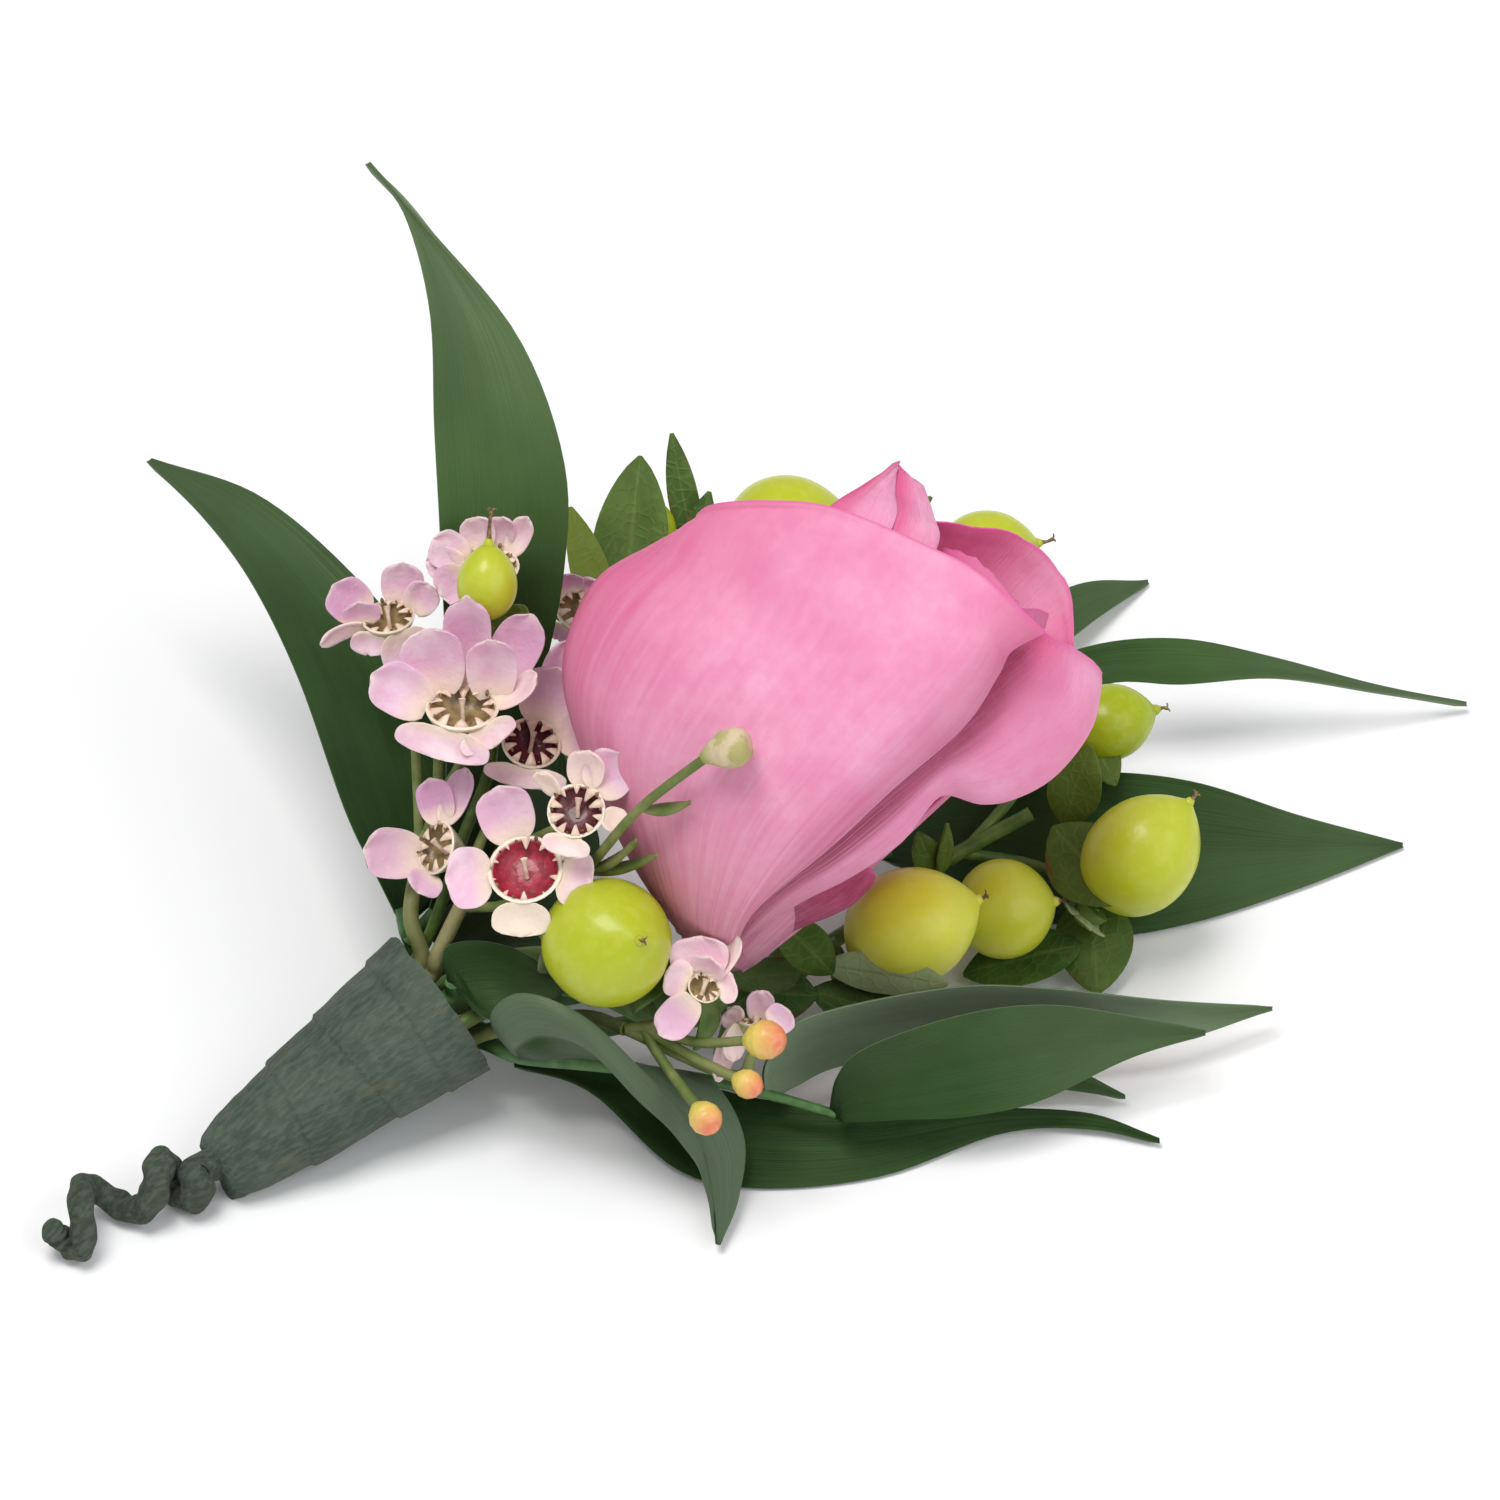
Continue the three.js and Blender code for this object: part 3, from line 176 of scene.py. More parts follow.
class Skin:
    """Closed skins in millimetres that become one piece. Each face corner has a place across
    and along its skin, and each point a mark for the underside, a second finish or, on the rose,
    painted shade, and a tone of its own, which on the ruscus leaves and rose petals is partly
    painted light and shade."""

    def __init__(self):
        self.points, self.faces, self.places, self.finishes = [], [], [], []
        self.under, self.tone = [], []

    def add(self, points, faces, under, tone, finish):
        """Each corner of a face is its point's number and its place across and along."""
        volume = 0
        for face in faces:
            a, *others = [points[corner[0]] for corner in face]
            for b, c in zip(others, others[1:]):
                volume += a.dot(b.cross(c))
        if volume < 0:
            faces = [face[::-1] for face in faces]
        first = len(self.points)
        self.points += points
        self.faces += [[first + corner[0] for corner in face] for face in faces]
        self.places += [n for face in faces for corner in face for n in corner[1:]]
        self.finishes += [finish] * len(faces)
        self.under += under
        self.tone += [tone] * len(points)

    def rings(self, rings, tone=0.0, finish=0):
        """A skin through rings of points, closed to a point at both ends."""
        sides, last = len(rings[0]), len(rings) - 1
        points = [p for ring in rings for p in ring]

        def corner(i, j):
            return i * sides + j % sides, j / sides, i / last

        faces = [
            [corner(i, j), corner(i, j + 1), corner(i + 1, j + 1), corner(i + 1, j)]
            for i in range(last) for j in range(sides)
        ]
        for i in (0, last):
            for j in range(sides):
                face = [corner(i, j), corner(i, j + 1), (len(points), j / sides, i / last)]
                faces.append(face if i else face[::-1])
            points.append(sum(rings[i], Vector()) / sides)
        self.add(points, faces, [0.0] * len(points), tone, finish)

    def tube(self, line, radii, sides=12, per_span=6, tone=0.0, finish=0, shape=None):
        """A round stem along the line; shape may swell it by its angle and its way along."""
        steps = (len(line) - 1) * per_span
        normal = Vector((0.3, 0.2, 1))
        rings = []
        for i in range(steps + 1):
            t = i / steps
            centre, ahead = on_curve(line, t), curve_heading(line, t)
            normal = (normal - ahead * normal.dot(ahead)).normalized()
            side = ahead.cross(normal)
            ring = []
            for j in range(sides):
                angle = j / sides * math.tau
                radius = between(radii, t) * (shape(angle, t) if shape else 1)
                ring.append(centre + radius * towards(angle, normal, side))
            rings.append(ring)
        self.rings(rings, tone, finish)

    def blade(self, grid, thickness, tone=0.0, turned=0.0, alike=False):
        """A thin blade over a grid of rows from base to tip, thinner towards its edges.
        turned marks its underside, a second finish or, on the rose, painted shade, from 0 to 1,
        everywhere the same or by place across and along, and alike gives both its sides the same mark."""
        rows, cols = len(grid), len(grid[0])
        points, under, faces = [], [], []
        for side in (1, -1):
            for i in range(rows):
                for j in range(cols):
                    along = grid[min(i + 1, rows - 1)][j] - grid[max(i - 1, 0)][j]
                    across = grid[i][min(j + 1, cols - 1)] - grid[i][max(j - 1, 0)]
                    normal = across.cross(along).normalized()
                    edge = min(i, j, rows - 1 - i, cols - 1 - j)
                    depth = thickness / 2 * (EDGE_THINNING if edge == 0 else 1)
                    points.append(grid[i][j] + normal * side * depth)
                    mark = turned(j / (cols - 1), i / (rows - 1)) if callable(turned) else turned
                    under.append(float(mark if side == 1 or alike else 1 - mark))

        def corner(i, j, below=0):
            return (below * rows + i) * cols + j, j / (cols - 1), i / (rows - 1)

        for i in range(rows - 1):
            for j in range(cols - 1):
                a, b, c, d = (i, j), (i + 1, j), (i + 1, j + 1), (i, j + 1)
                faces.append([corner(*spot) for spot in (a, b, c, d)])
                faces.append([corner(*spot, 1) for spot in (a, d, c, b)])
        rim = [(0, j) for j in range(cols - 1)] + [(i, cols - 1) for i in range(rows - 1)]
        rim += [(rows - 1, j) for j in range(cols - 1, 0, -1)]
        rim += [(i, 0) for i in range(rows - 1, 0, -1)]
        for here, there in zip(rim, rim[1:] + rim[:1]):
            faces.append([corner(*here), corner(*there), corner(*there, 1), corner(*here, 1)])
        self.add(points, faces, under, tone, 0)

    def mesh(self, name):
        mesh = bpy.data.meshes.new(name)
        mesh.from_pydata([p * MM for p in self.points], [], self.faces)
        mesh.uv_layers.new(name="Surface").data.foreach_set("uv", self.places)
        for label, values in (("under", self.under), ("tone", self.tone)):
            mesh.attributes.new(label, "FLOAT", "POINT").data.foreach_set("value", values)
        mesh.shade_smooth()
        return mesh

    def piece(self, name, materials, node):
        """The finished piece, which rides on the bunch and stands for its CAD node."""
        mesh = self.mesh(name)
        for material in materials:
            mesh.materials.append(material)
        mesh.polygons.foreach_set("material_index", self.finishes)
        mesh.set_sharp_from_angle(angle=CREASE_ANGLE)
        made = placed(name, mesh)
        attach(made, "root")
        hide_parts(node)


def in_tape(distance, radius, angle):
    return TAPE_END + tape_axis * distance + radius * towards(angle, tape_side, tape_up)


def tape_radius(distance, angle):
    """The tape's outer radius, with a step up at each seam and the crumples of the crepe."""
    for (d0, r0), (d1, r1) in zip(TAPE_PROFILE, TAPE_PROFILE[1:]):
        if distance <= d1:
            break
    radius = r0 + (r1 - r0) * held((distance - d0) / (d1 - d0))
    for seam, slant, turned in TAPE_SEAMS:
        edge = seam + slant * math.cos(angle - math.radians(turned))
        radius += TAPE_STEP * held((distance - edge) / 0.2 + 0.5)
    ring = Vector((math.cos(angle), math.sin(angle), 0))
    crumple = 0.13 * noise.noise(ring * 1.9 + Vector((0, 0, distance * 0.3)))
    crease = 0.06 * abs(noise.noise(ring * 5 + Vector((3, 0, distance * 0.45))))
    crepe = 0.025 * noise.noise(ring * 30 + Vector((0, 5, distance * 1.3)))
    return radius + crumple - crease + crepe


def frayed(angle):
    """How far the cut edge of the mouth runs on at an angle."""
    return 0.3 * noise.noise(Vector((math.cos(angle) * 3, math.sin(angle) * 3, 7)))


def on_table(point):
    return Vector((point.x, point.y, max(point.z, 0)))


tape = Skin()
turns = [j / TAPE_SIDES * math.tau for j in range(TAPE_SIDES)]
rings = []
for i in range(TAPE_ROWS + 1):
    distance = i / TAPE_ROWS * TAPE_LENGTH
    ring = []
    for angle in turns:
        flap = FLAP_SIZE * max(0, math.cos(angle - FLAP_TURN)) ** 6 * max(0, 1 - distance)
        reach = distance - flap + frayed(angle) * (distance / TAPE_LENGTH) ** 12
        ring.append(on_table(in_tape(reach, tape_radius(distance, angle) + flap * 0.6, angle)))
    rings.append(ring)
for depth, radius in TAPE_MOUTH:
    lip = TAPE_LENGTH - depth
    rings.append([in_tape(lip + frayed(angle) * (depth == 0), radius, angle) for angle in turns])
tape.rings(rings)

coil = [
    (-4.3, -2.9, 0.05), (-5.4, -3.3, 0.5), (-7.2, -3.6, 1.0), (-10.0, -4.9, 1.5),
    (-13.2, -6.4, 2.0), (-13.6, -9.2, 2.5), (-14.8, -10.2, 2.8),
]
coil_heading = Vector((0.45, -0.89, 0))
tail_line = [in_tape(2.2, 0, 0)]
for i in range(COIL_STEPS + 1):
    x, y, turn = on_curve(coil, i / COIL_STEPS)
    grown = min(1, 0.55 + i / 8) * COIL_RADIUS
    tail_line.append(
        Vector((x, y, COIL_HEIGHT)) + grown * towards(turn * math.tau, Vector((0, 0, 1)), coil_heading)
    )


def twisted(angle, t):
    """The tape on the wire is wound in a slanting rope, with small tucks."""
    rope = 0.085 * math.sin(2 * angle + t * 95) + 0.04 * math.sin(3 * angle - t * 60)
    tucks = 0.09 * noise.noise(Vector((math.cos(angle) * 1.6, math.sin(angle) * 1.6, t * 34)))
    rounded = min(1, math.sqrt(max(0, 1 - t)) * 6 + 0.25)
    return (1 + rope + tucks) * rounded


tape.tube(tail_line, TAIL_RADII, sides=24, per_span=6, tone=0.7, shape=twisted)
tape.points = [on_table(p) for p in tape.points]


class Nodes:
    """Adds nodes to a tree, with their settings, values and links."""

    def __init__(self, tree):
        self.tree = tree

    def add(self, kind, values=None, **settings):
        """A node with its settings, and values or links for its sockets by name or number."""
        made = self.tree.nodes.new(kind)
        for name, setting in settings.items():
            setattr(made, name, setting)
        for name, value in (values or {}).items():
            if isinstance(value, bpy.types.NodeSocket):
                self.tree.links.new(value, made.inputs[name])
            else:
                made.inputs[name].default_value = value
        return made

    def socket(self, label, kind, value=None, in_out="INPUT"):
        """A named input or output of a group; gives back its identifier."""
        made = self.tree.interface.new_socket(label, in_out=in_out, socket_type="NodeSocket" + kind)
        if value is not None:
            made.default_value = value
        return made.identifier

    def math(self, operation, *values):
        return self.add("ShaderNodeMath", dict(enumerate(values)), operation=operation).outputs[0]

    def ramp(self, value, low, high, first=0.0, last=1.0):
        """From first, where the value is low, to last, where it is high."""
        return self.add("ShaderNodeMapRange", {
            "Value": value, "From Min": low, "From Max": high, "To Min": first, "To Max": last,
        }).outputs[0]

    def mark(self, label):
        """A value that the mesh carries at each point."""
        return self.add("ShaderNodeAttribute", attribute_name=label).outputs["Fac"]

    def spot(self):
        """The place across and along the skin."""
        surface = self.add("ShaderNodeUVMap", uv_map="Surface").outputs["UV"]
        split = self.add("ShaderNodeSeparateXYZ", {"Vector": surface})
        return split.outputs["X"], split.outputs["Y"]


# Two shader groups are shared: cloudy patches, and fine lines along a blade.
patches = Nodes(bpy.data.node_groups.new("Patches", "ShaderNodeTree"))
patches.socket("Vector", "Vector")
for label, value in (("Scale", 5.0), ("Detail", 3.0), ("Low", 0.35), ("High", 0.65)):
    patches.socket(label, "Float", value)
patches.socket("Mask", "Float", in_out="OUTPUT")
inside = patches.add("NodeGroupInput").outputs
cloud = patches.add("ShaderNodeTexNoise", {
    label: inside[label] for label in ("Vector", "Scale", "Detail")
})
spread = patches.add("ShaderNodeMapRange", {
    "Value": cloud.outputs["Fac"], "From Min": inside["Low"], "From Max": inside["High"],
}, interpolation_type="SMOOTHSTEP")
patches.add("NodeGroupOutput", {"Mask": spread.outputs["Result"]})

lines = Nodes(bpy.data.node_groups.new("Lines", "ShaderNodeTree"))
for label, value in (("Across", 60.0), ("Along", 3.0), ("Wander", 0.0)):
    lines.socket(label, "Float", value)
lines.socket("Mask", "Float", in_out="OUTPUT")
inside = lines.add("NodeGroupInput").outputs
across, along = lines.spot()
stretched = lines.add("ShaderNodeCombineXYZ", {
    "X": lines.math("MULTIPLY", across, inside["Across"]),
    "Y": lines.math("MULTIPLY", along, inside["Along"]),
    "Z": lines.math("MULTIPLY", lines.mark("tone"), 17.0),
})
streak = lines.add("ShaderNodeTexNoise", {
    "Vector": stretched.outputs[0], "Scale": 1.0, "Detail": 2.0, "Distortion": inside["Wander"],
})
lines.add("NodeGroupOutput", {"Mask": lines.ramp(streak.outputs["Fac"], 0.3, 0.7)})


class Finish(Nodes):
    """A Principled material with plain values, whose colour is laid on coat by coat."""

    def __init__(self, name, values):
        self.material = bpy.data.materials.new(name)
        self.material.use_nodes = True
        super().__init__(self.material.node_tree)
        self.shader = self.tree.nodes["Principled BSDF"]
        for socket, value in values.items():
            self.shader.inputs[socket].default_value = value

    def clouds(self, scale, detail=3.0, low=0.35, high=0.65, vector=None):
        if vector is None:
            vector = self.add("ShaderNodeTexCoord").outputs["Object"]
        return self.add("ShaderNodeGroup", {
            "Vector": vector, "Scale": scale, "Detail": detail, "Low": low, "High": high,
        }, node_tree=patches.tree).outputs[0]

    def streaks(self, across, along, wander):
        return self.add("ShaderNodeGroup", {
            "Across": across, "Along": along, "Wander": wander,
        }, node_tree=lines.tree).outputs[0]

    def blend(self, mask, first, second):
        """First colour where the mask is 0, second where it is 1."""
        colours = [c if isinstance(c, bpy.types.NodeSocket) else (*c, 1) for c in (first, second)]
        return self.add("ShaderNodeMix", {
            "Factor": mask, 6: colours[0], 7: colours[1],
        }, data_type="RGBA").outputs[2]

    def base(self, mask, first, second):
        self.colour = self.blend(mask, first, second)

    def over(self, mask, colour, amount=None):
        """A coat over the colour so far, by the mask and as much of it as the amount says."""
        if amount is not None:
            mask = self.math("MULTIPLY", mask, amount)
        self.colour = self.blend(mask, self.colour, colour)

    def done(self, *reliefs):
        """The material, with bumps from pairs of a mask and its depth in millimetres."""
        self.tree.links.new(self.colour, self.shader.inputs["Base Color"])
        normal = {}
        for mask, depth in reliefs:
            made = self.add("ShaderNodeBump", {
                "Height": mask, "Strength": 1.0, "Distance": depth * MM, **normal,
            })
            normal = {"Normal": made.outputs["Normal"]}
        if normal:
            self.tree.links.new(normal["Normal"], self.shader.inputs["Normal"])
        return self.material


crepe = Finish("crepe_paper", {"Roughness": 0.85, "Specular IOR Level": 0.25})
lay = crepe.add("ShaderNodeMapping", {
    "Vector": crepe.add("ShaderNodeTexCoord").outputs["Object"],
    "Rotation": (0, -TAPE_SLOPE, TAPE_HEADING), "Scale": (3.2, 1, 1),
}, vector_type="TEXTURE").outputs[0]
fibres = crepe.clouds(2600, 6, 0.3, 0.7, lay)
crepe.base(crepe.clouds(260, 5, 0.36, 0.66), (0.044, 0.066, 0.046), (0.072, 0.096, 0.07))
crepe.over(crepe.clouds(420, 5, 0.55, 0.75, lay), (0.105, 0.12, 0.065))
crepe.over(crepe.mark("tone"), (0.03, 0.042, 0.026))
crepe.over(fibres, (0.15, 0.185, 0.15), 0.35)
tape.piece("crepe_tape", [crepe.done((fibres, 0.1))], "floral_tape")

# Floral wire. An enamelled green wire runs inside the tape and gives the tail its curl; no
# length of it is bare, so the solid of the model is kept as it is.
wire = Finish("wire_enamel", {"Metallic": 0.6, "Roughness": 0.45})
wire.base(wire.clouds(900, 3, 0.4, 0.7), (0.03, 0.08, 0.05), (0.09, 0.13, 0.1))
wire_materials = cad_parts["floral_wire"].data.materials
wire_materials.clear()
wire_materials.append(wire.done())

# Rose stem. The cut stem stands in the mouth of the tape and carries the bloom on a small
# green swelling with five narrow sepals bent back, mostly hidden by the berries before it.
ROSE_BASE = Vector((35.4, 9.2, 14))
ROSE_SIDES = 24
SEPALS = 5
rose_axis = Vector((0.522, 0.56, 0.643)).normalized()


def square_to(axis, hint):
    """The direction square to the axis that is nearest to the hint."""
    hint = Vector(hint)
    return (hint - axis * hint.dot(axis)).normalized()


rose_front = square_to(rose_axis, (-0.031, -0.741, 0.67))
rose_right = rose_axis.cross(rose_front)


def in_rose(along, right=0, front=0):
    return ROSE_BASE + rose_axis * along + rose_right * right + rose_front * front


def circle(centre, radius, first, second, sides):
    return [centre + radius * towards(j / sides * math.tau, first, second) for j in range(sides)]


def small_leaf(base, tip, width, broadside, rise=0.6, rows=14, cols=6, belly=0.45):
    """A grid for a small leaf or sepal from base to tip, as wide as it is said to be."""
    base, ahead = Vector(base), Vector(tip) - Vector(base)
    heading = ahead.normalized()
    side = square_to(heading, broadside)
    normal = side.cross(heading)
    grid = []
    for i in range(rows + 1):
        t = i / rows
        bend = t / belly if t < belly else (1 - t) / (1 - belly)
        wide = max(0.16, width / 2 * max(math.sin(bend * math.pi / 2), 0) ** 0.7)
        centre = base + ahead * t + normal * rise * math.sin(t * math.pi)
        row = []
        for j in range(cols + 1):
            s = 2 * j / cols - 1
            wave = 0.05 * wide * math.sin(t * 9 + s * 2)
            row.append(centre + side * s * wide + normal * (0.14 * wide * (abs(s) ** 1.5 - 1) + wave))
        grid.append(row)
    return grid


def rooted(degrees, points):
    """A stem's points from the bore of the tape through its place on the ring of stems."""
    bore = [(1 - BORE_DEPTH, 3.1), (-3.5, 3.6), (0.5, 3.95)]
    turn = math.radians(degrees)
    return [in_tape(TAPE_LENGTH + past, radius, turn) for past, radius in bore] + points


rose_green_skin = Skin()
rose_green_skin.tube([
    in_tape(TAPE_LENGTH - BORE_DEPTH + 1, 0.3, math.pi / 2), in_tape(TAPE_LENGTH, 0.3, math.pi / 2),
    (21, 12.6, 10), (27.5, 11, 10.5), in_rose(-4), in_rose(0.3),
], [1.5, 1.9, 1.9], sides=20)
swelling = [(-4.6, 1.9), (-3.8, 2.6), (-2.8, 3.1), (-1.6, 3.35), (-0.8, 3.4), (0, 3.1), (0.4, 2.6)]
rose_green_skin.rings([
    circle(in_rose(along), radius, rose_right, rose_front, ROSE_SIDES) for along, radius in swelling
])
for k in range(SEPALS):
    angle = k / SEPALS * math.tau - math.radians(20)
    out = towards(angle, rose_right, rose_front)
    around = towards(angle, rose_front, -rose_right)
    sepal = small_leaf(
        in_rose(-1.4) + out * 2.6, in_rose(-5.6) + out * 4.8, 2.2, around, rise=0.8, belly=0.3,
    )
    rose_green_skin.blade(sepal, 0.4, tone=k * 0.2)

green = Finish("rose_green", {"Roughness": 0.6, "Specular IOR Level": 0.3})
cloudy = green.clouds(500)
green.base(cloudy, (0.09, 0.17, 0.04), (0.16, 0.24, 0.07))
rose_green_skin.piece("rose_calyx_and_stem", [green.done((cloudy, 0.05))], "rose_stem")

# Rose bloom. A half-open bud of soft layered petals: one broad petal over the front, one
# turned out at the lower right, a pointed one behind the top and a tight whorl inside.
# The petals are velvety, pink with a lilac cast, paler at the foot and deeper at the rim.
PETAL_THICKNESS = 0.5


def petal(net, across=30, along=26, roll=0.5, ruffle=0.25, seed=0):
    """A petal through rows of [along, right, front] points; its rim rolls a little outward."""
    rows = [[in_rose(*p) for p in row] for row in net]
    grid = []
    for i in range(along + 1):
        ribs = [[on_curve(row, j / across) for row in rows] for j in range(across + 1)]
        grid.append([on_curve(rib, i / along) for rib in ribs])
    shaped = []
    for i, line in enumerate(grid):
        t = i / along
        rim = max(0, (t - 0.86) / 0.14)
        row = []
        for j, point in enumerate(line):
            ahead = grid[min(i + 1, along)][j] - grid[max(i - 1, 0)][j]
            side = line[min(j + 1, across)] - line[max(j - 1, 0)]
            out = side.cross(ahead).normalized()
            spot = Vector((j / across * 5, t * 3, seed * 3.7))
            wave = ruffle * rim * noise.noise(spot * 1.4) + 0.12 * noise.noise(spot * 0.9)
            stretch = ruffle * rim * noise.noise(spot * 2)
            row.append(point + out * (roll * rim * rim + wave) + ahead.normalized() * stretch)
        shaped.append(row)
    return shaped


def wrapped(angle, spread, radii, height, lean):
    """The net of a petal that wraps round the bud, from its middle to both sides."""
    net = []
    for rise, narrower, radius in zip((0.04, 0.36, 0.7, 1), (0.9, 0.95, 1, 0.85), (3, *radii)):
        line = []
        for u in (-1, -0.5, 0, 0.5, 1):
            turn = math.radians(angle + u * spread * narrower)
            reach = radius * (1 - 0.05 * u * u)
            drop = 0.12 * u * u * height if rise == 1 else 0
            right, front = reach * math.cos(turn) + lean * rise, reach * math.sin(turn)
            line.append((rise * height - drop, right, front))
        net.append(line)
    return net


front_petal = [
    [(2.2, -2.6, -2.6), (1.8, -3.2, -0.6), (1.6, -3.2, 1.2), (1.4, -2, 2.8),
     (1.3, -0.3, 3.4), (1.6, 1.1, 3.2), (2.3, 1.6, 2.6)],
    [(7.5, -9.5, -6), (6, -11.4, -2), (5.2, -9.8, 2.8), (5, -6, 6.8),
     (5.2, -2.6, 8.2), (5.8, 0, 8.6), (6.6, 1.2, 8.4)],
    [(15, -17, -9), (13.5, -20.8, -2.5), (12.5, -18, 4.2), (12, -11.8, 9.8),
     (12.2, -5, 12.6), (13, 0, 13), (14, 3.5, 12)],
    [(21.5, -17.6, -11), (21, -22.8, -1.5), (20.3, -19.8, 6), (20, -12.4, 12.4),
     (20, -4.6, 15), (20.3, 1.2, 15.2), (20.4, 5.2, 12.8)],
    [(25.4, -15.2, -11.5), (26, -20.4, -1.5), (26.4, -18.6, 6), (27, -11.4, 12),
     (27.4, -3.6, 15), (27.4, 2.6, 15.6), (27.4, 7.4, 13)],
    [(27, -13.6, -11.5), (28, -18.6, -1.5), (29.5, -18.4, 5.4), (32.5, -12, 11),
     (33.4, -4, 14), (33.4, 3.4, 15), (32.3, 7.6, 13.6)],
    [(27.4, -12.9, -11.5), (28.4, -17.8, -2.2), (30.8, -18, 5.7), (34.7, -11.6, 9.9),
     (36, -4.3, 12.3), (36.2, 2.8, 13.8), (34.4, 7.5, 14.6)],
    [(27.6, -12.6, -11.5), (28.6, -17.4, -2.5), (31.4, -17.8, 5.8), (35.6, -11.4, 9.4),
     (37.4, -4.4, 11.3), (37.8, 2.6, 12.4), (36.9, 9, 14.6)],
]
turned_out_petal = [
    [(2, 0, 2), (2.4, 0.6, 2.6), (2.6, 1.1, 2.6), (2.7, 1.5, 2.2), (2.8, 1.9, 1.5)],
    [(5.5, -0.6, 4.4), (5.6, 0.8, 5.4), (5.6, 1.5, 5), (5.6, 2.1, 4.2), (5.6, 2.5, 3)],
    [(10, -0.5, 6.8), (9.6, 1.6, 7.4), (9.2, 2.6, 7), (9, 3.3, 6), (8.8, 3.8, 4.5)],
    [(15, 0.5, 8.6), (14.2, 3.2, 9.2), (13.4, 4.6, 8.6), (12.9, 5.6, 7), (12.6, 6.1, 5)],
    [(20, 2, 10), (19.2, 4.6, 10.4), (18.2, 6.4, 9.6), (17.4, 7.5, 7.8), (17, 8, 5.5)],
    [(25, 4, 10.6), (24.2, 6.4, 10.9), (23.2, 7.8, 10), (22.2, 8.6, 8.2), (21.6, 8.6, 6)],
    [(27.6, 4.6, 10.6), (27, 7, 10.9), (25.6, 9.6, 9.6), (24, 11.4, 7.6), (22.7, 11.8, 5.5)],
    [(30, 5, 10.4), (29.6, 7.6, 10.6), (28.4, 11, 9), (26.4, 13.8, 6.4), (24.4, 13.9, 4.3)],
    [(32.5, 5.6, 10), (32.2, 8.2, 10.2), (31.4, 12, 8), (29.8, 15.2, 5.4), (27.4, 15.6, 3.2)],
    [(34.6, 6.4, 9), (34.4, 9, 9), (34, 12.4, 6.6), (33.4, 15.2, 4.2), (32, 16.1, 2.1)],
    [(36.6, 7.6, 7.6), (36.6, 9.6, 7.2), (36.8, 11.6, 5), (36.6, 13.4, 2.6), (36.2, 14.6, 0.8)],
]
right_back_petal = [
    [(20, -1, -4), (20, 3, -5), (20, 7, -4), (20, 9, -1)],
    [(30, -2, -3), (31, 3, -4.5), (31, 8, -4), (30, 11, -1)],
    [(36, -2.6, 0), (37, 3, -3), (36.5, 8, -3.4), (34, 11.8, -2)],
    [(39.6, -2.9, 2), (42, 3.6, -1.8), (40.6, 8.8, -3), (36.8, 11.9, -2)],
]
inner_whorl = [
    [(28, -2, 5), (28, 2, 6), (28, 6, 6)],
    [(35, -1.6, 6), (35.4, 2.4, 7), (35, 6.4, 7.4)],
    [(38.3, -1, 6), (38.8, 1.8, 6.4), (37.6, 6, 8)],
]
back_petal = [
    [(2, -2.6, -2.2), (2, -0.8, -3.2), (2, 1.2, -3), (2, 2.6, -1.8)],
    [(15, -9, -12), (15, -3, -13), (15, 3, -10.5), (15, 6.4, -6)],
    [(29.5, -8, -12.6), (30, 0, -15), (29.2, 8.4, -12.4), (28, 12.2, -6.4)],
    [(36, -7, -11.4), (38.6, 1.4, -12.4), (38.6, 7, -10.6), (36, 11.6, -6.4)],
]
peak_left = [
    [(5, -5, -1), (5, -4, 1), (5, -3, 3)],
    [(20, -11, 2), (20, -8, 7), (20, -5, 8)],
    [(30, -11.5, 5), (30, -8, 8), (31, -5.5, 9)],
    [(35.7, -10.5, 9), (36.4, -8.4, 9.4), (37.6, -5.3, 9.5)],
    [(38.8, -9.1, 6.5), (39.4, -8, 6.2), (40, -6.6, 5)],
    [(42.1, -7.5, 3), (42, -7.5, 3.1), (41.6, -7.5, 3.5)],
]
peak_right = [
    [(20, -6, 7.6), (20, -3, 8), (20, -1, 8)],
    [(31, -6.6, 8.5), (31, -3.5, 9), (31, -1, 9)],
    [(37.4, -6.2, 9), (37.8, -3.4, 9.2), (37.9, -1.5, 9)],
    [(39.9, -7.2, 4.6), (39.9, -4.6, 5.4), (39.7, -2.8, 6)],
    [(41.8, -7.7, 3), (41.5, -6.2, 3.2), (41.4, -4.9, 3.5)],
]
under_petal = [
    [(2.2, 1.4, 1.4), (2.3, 2, 0.6), (2.4, 2.4, -0.6)],
    [(6.6, 2.4, 3.4), (6.6, 4.4, 1.6), (6.6, 4.6, -1)],
    [(10.6, 3.6, 5), (10.4, 6.9, 2.4), (10, 7, -1)],
    [(13.8, 5, 6.2), (13.7, 7.6, 3.8), (12.6, 8, 0)],
]
outer_wraps = [
    (205, 62, (14.2, 16, 13.8), 33.5, -2), (250, 46, (11.6, 14, 14), 35, -1),
    (322, 44, (6.8, 10, 12.4), 33, 0.4),
]
inner_wraps = [
    (20, 80, (6.4, 8.6, 8.2), 38, 1), (150, 80, (7.6, 9.4, 7.6), 38, 0.6),
    (270, 80, (7, 8.8, 7.4), 38.4, 1), (75, 110, (5.6, 5.8, 4.8), 38.4, 1.6),
    (200, 110, (3.6, 3.9, 3.2), 37.6, 1.2),
]
bloom = Skin()
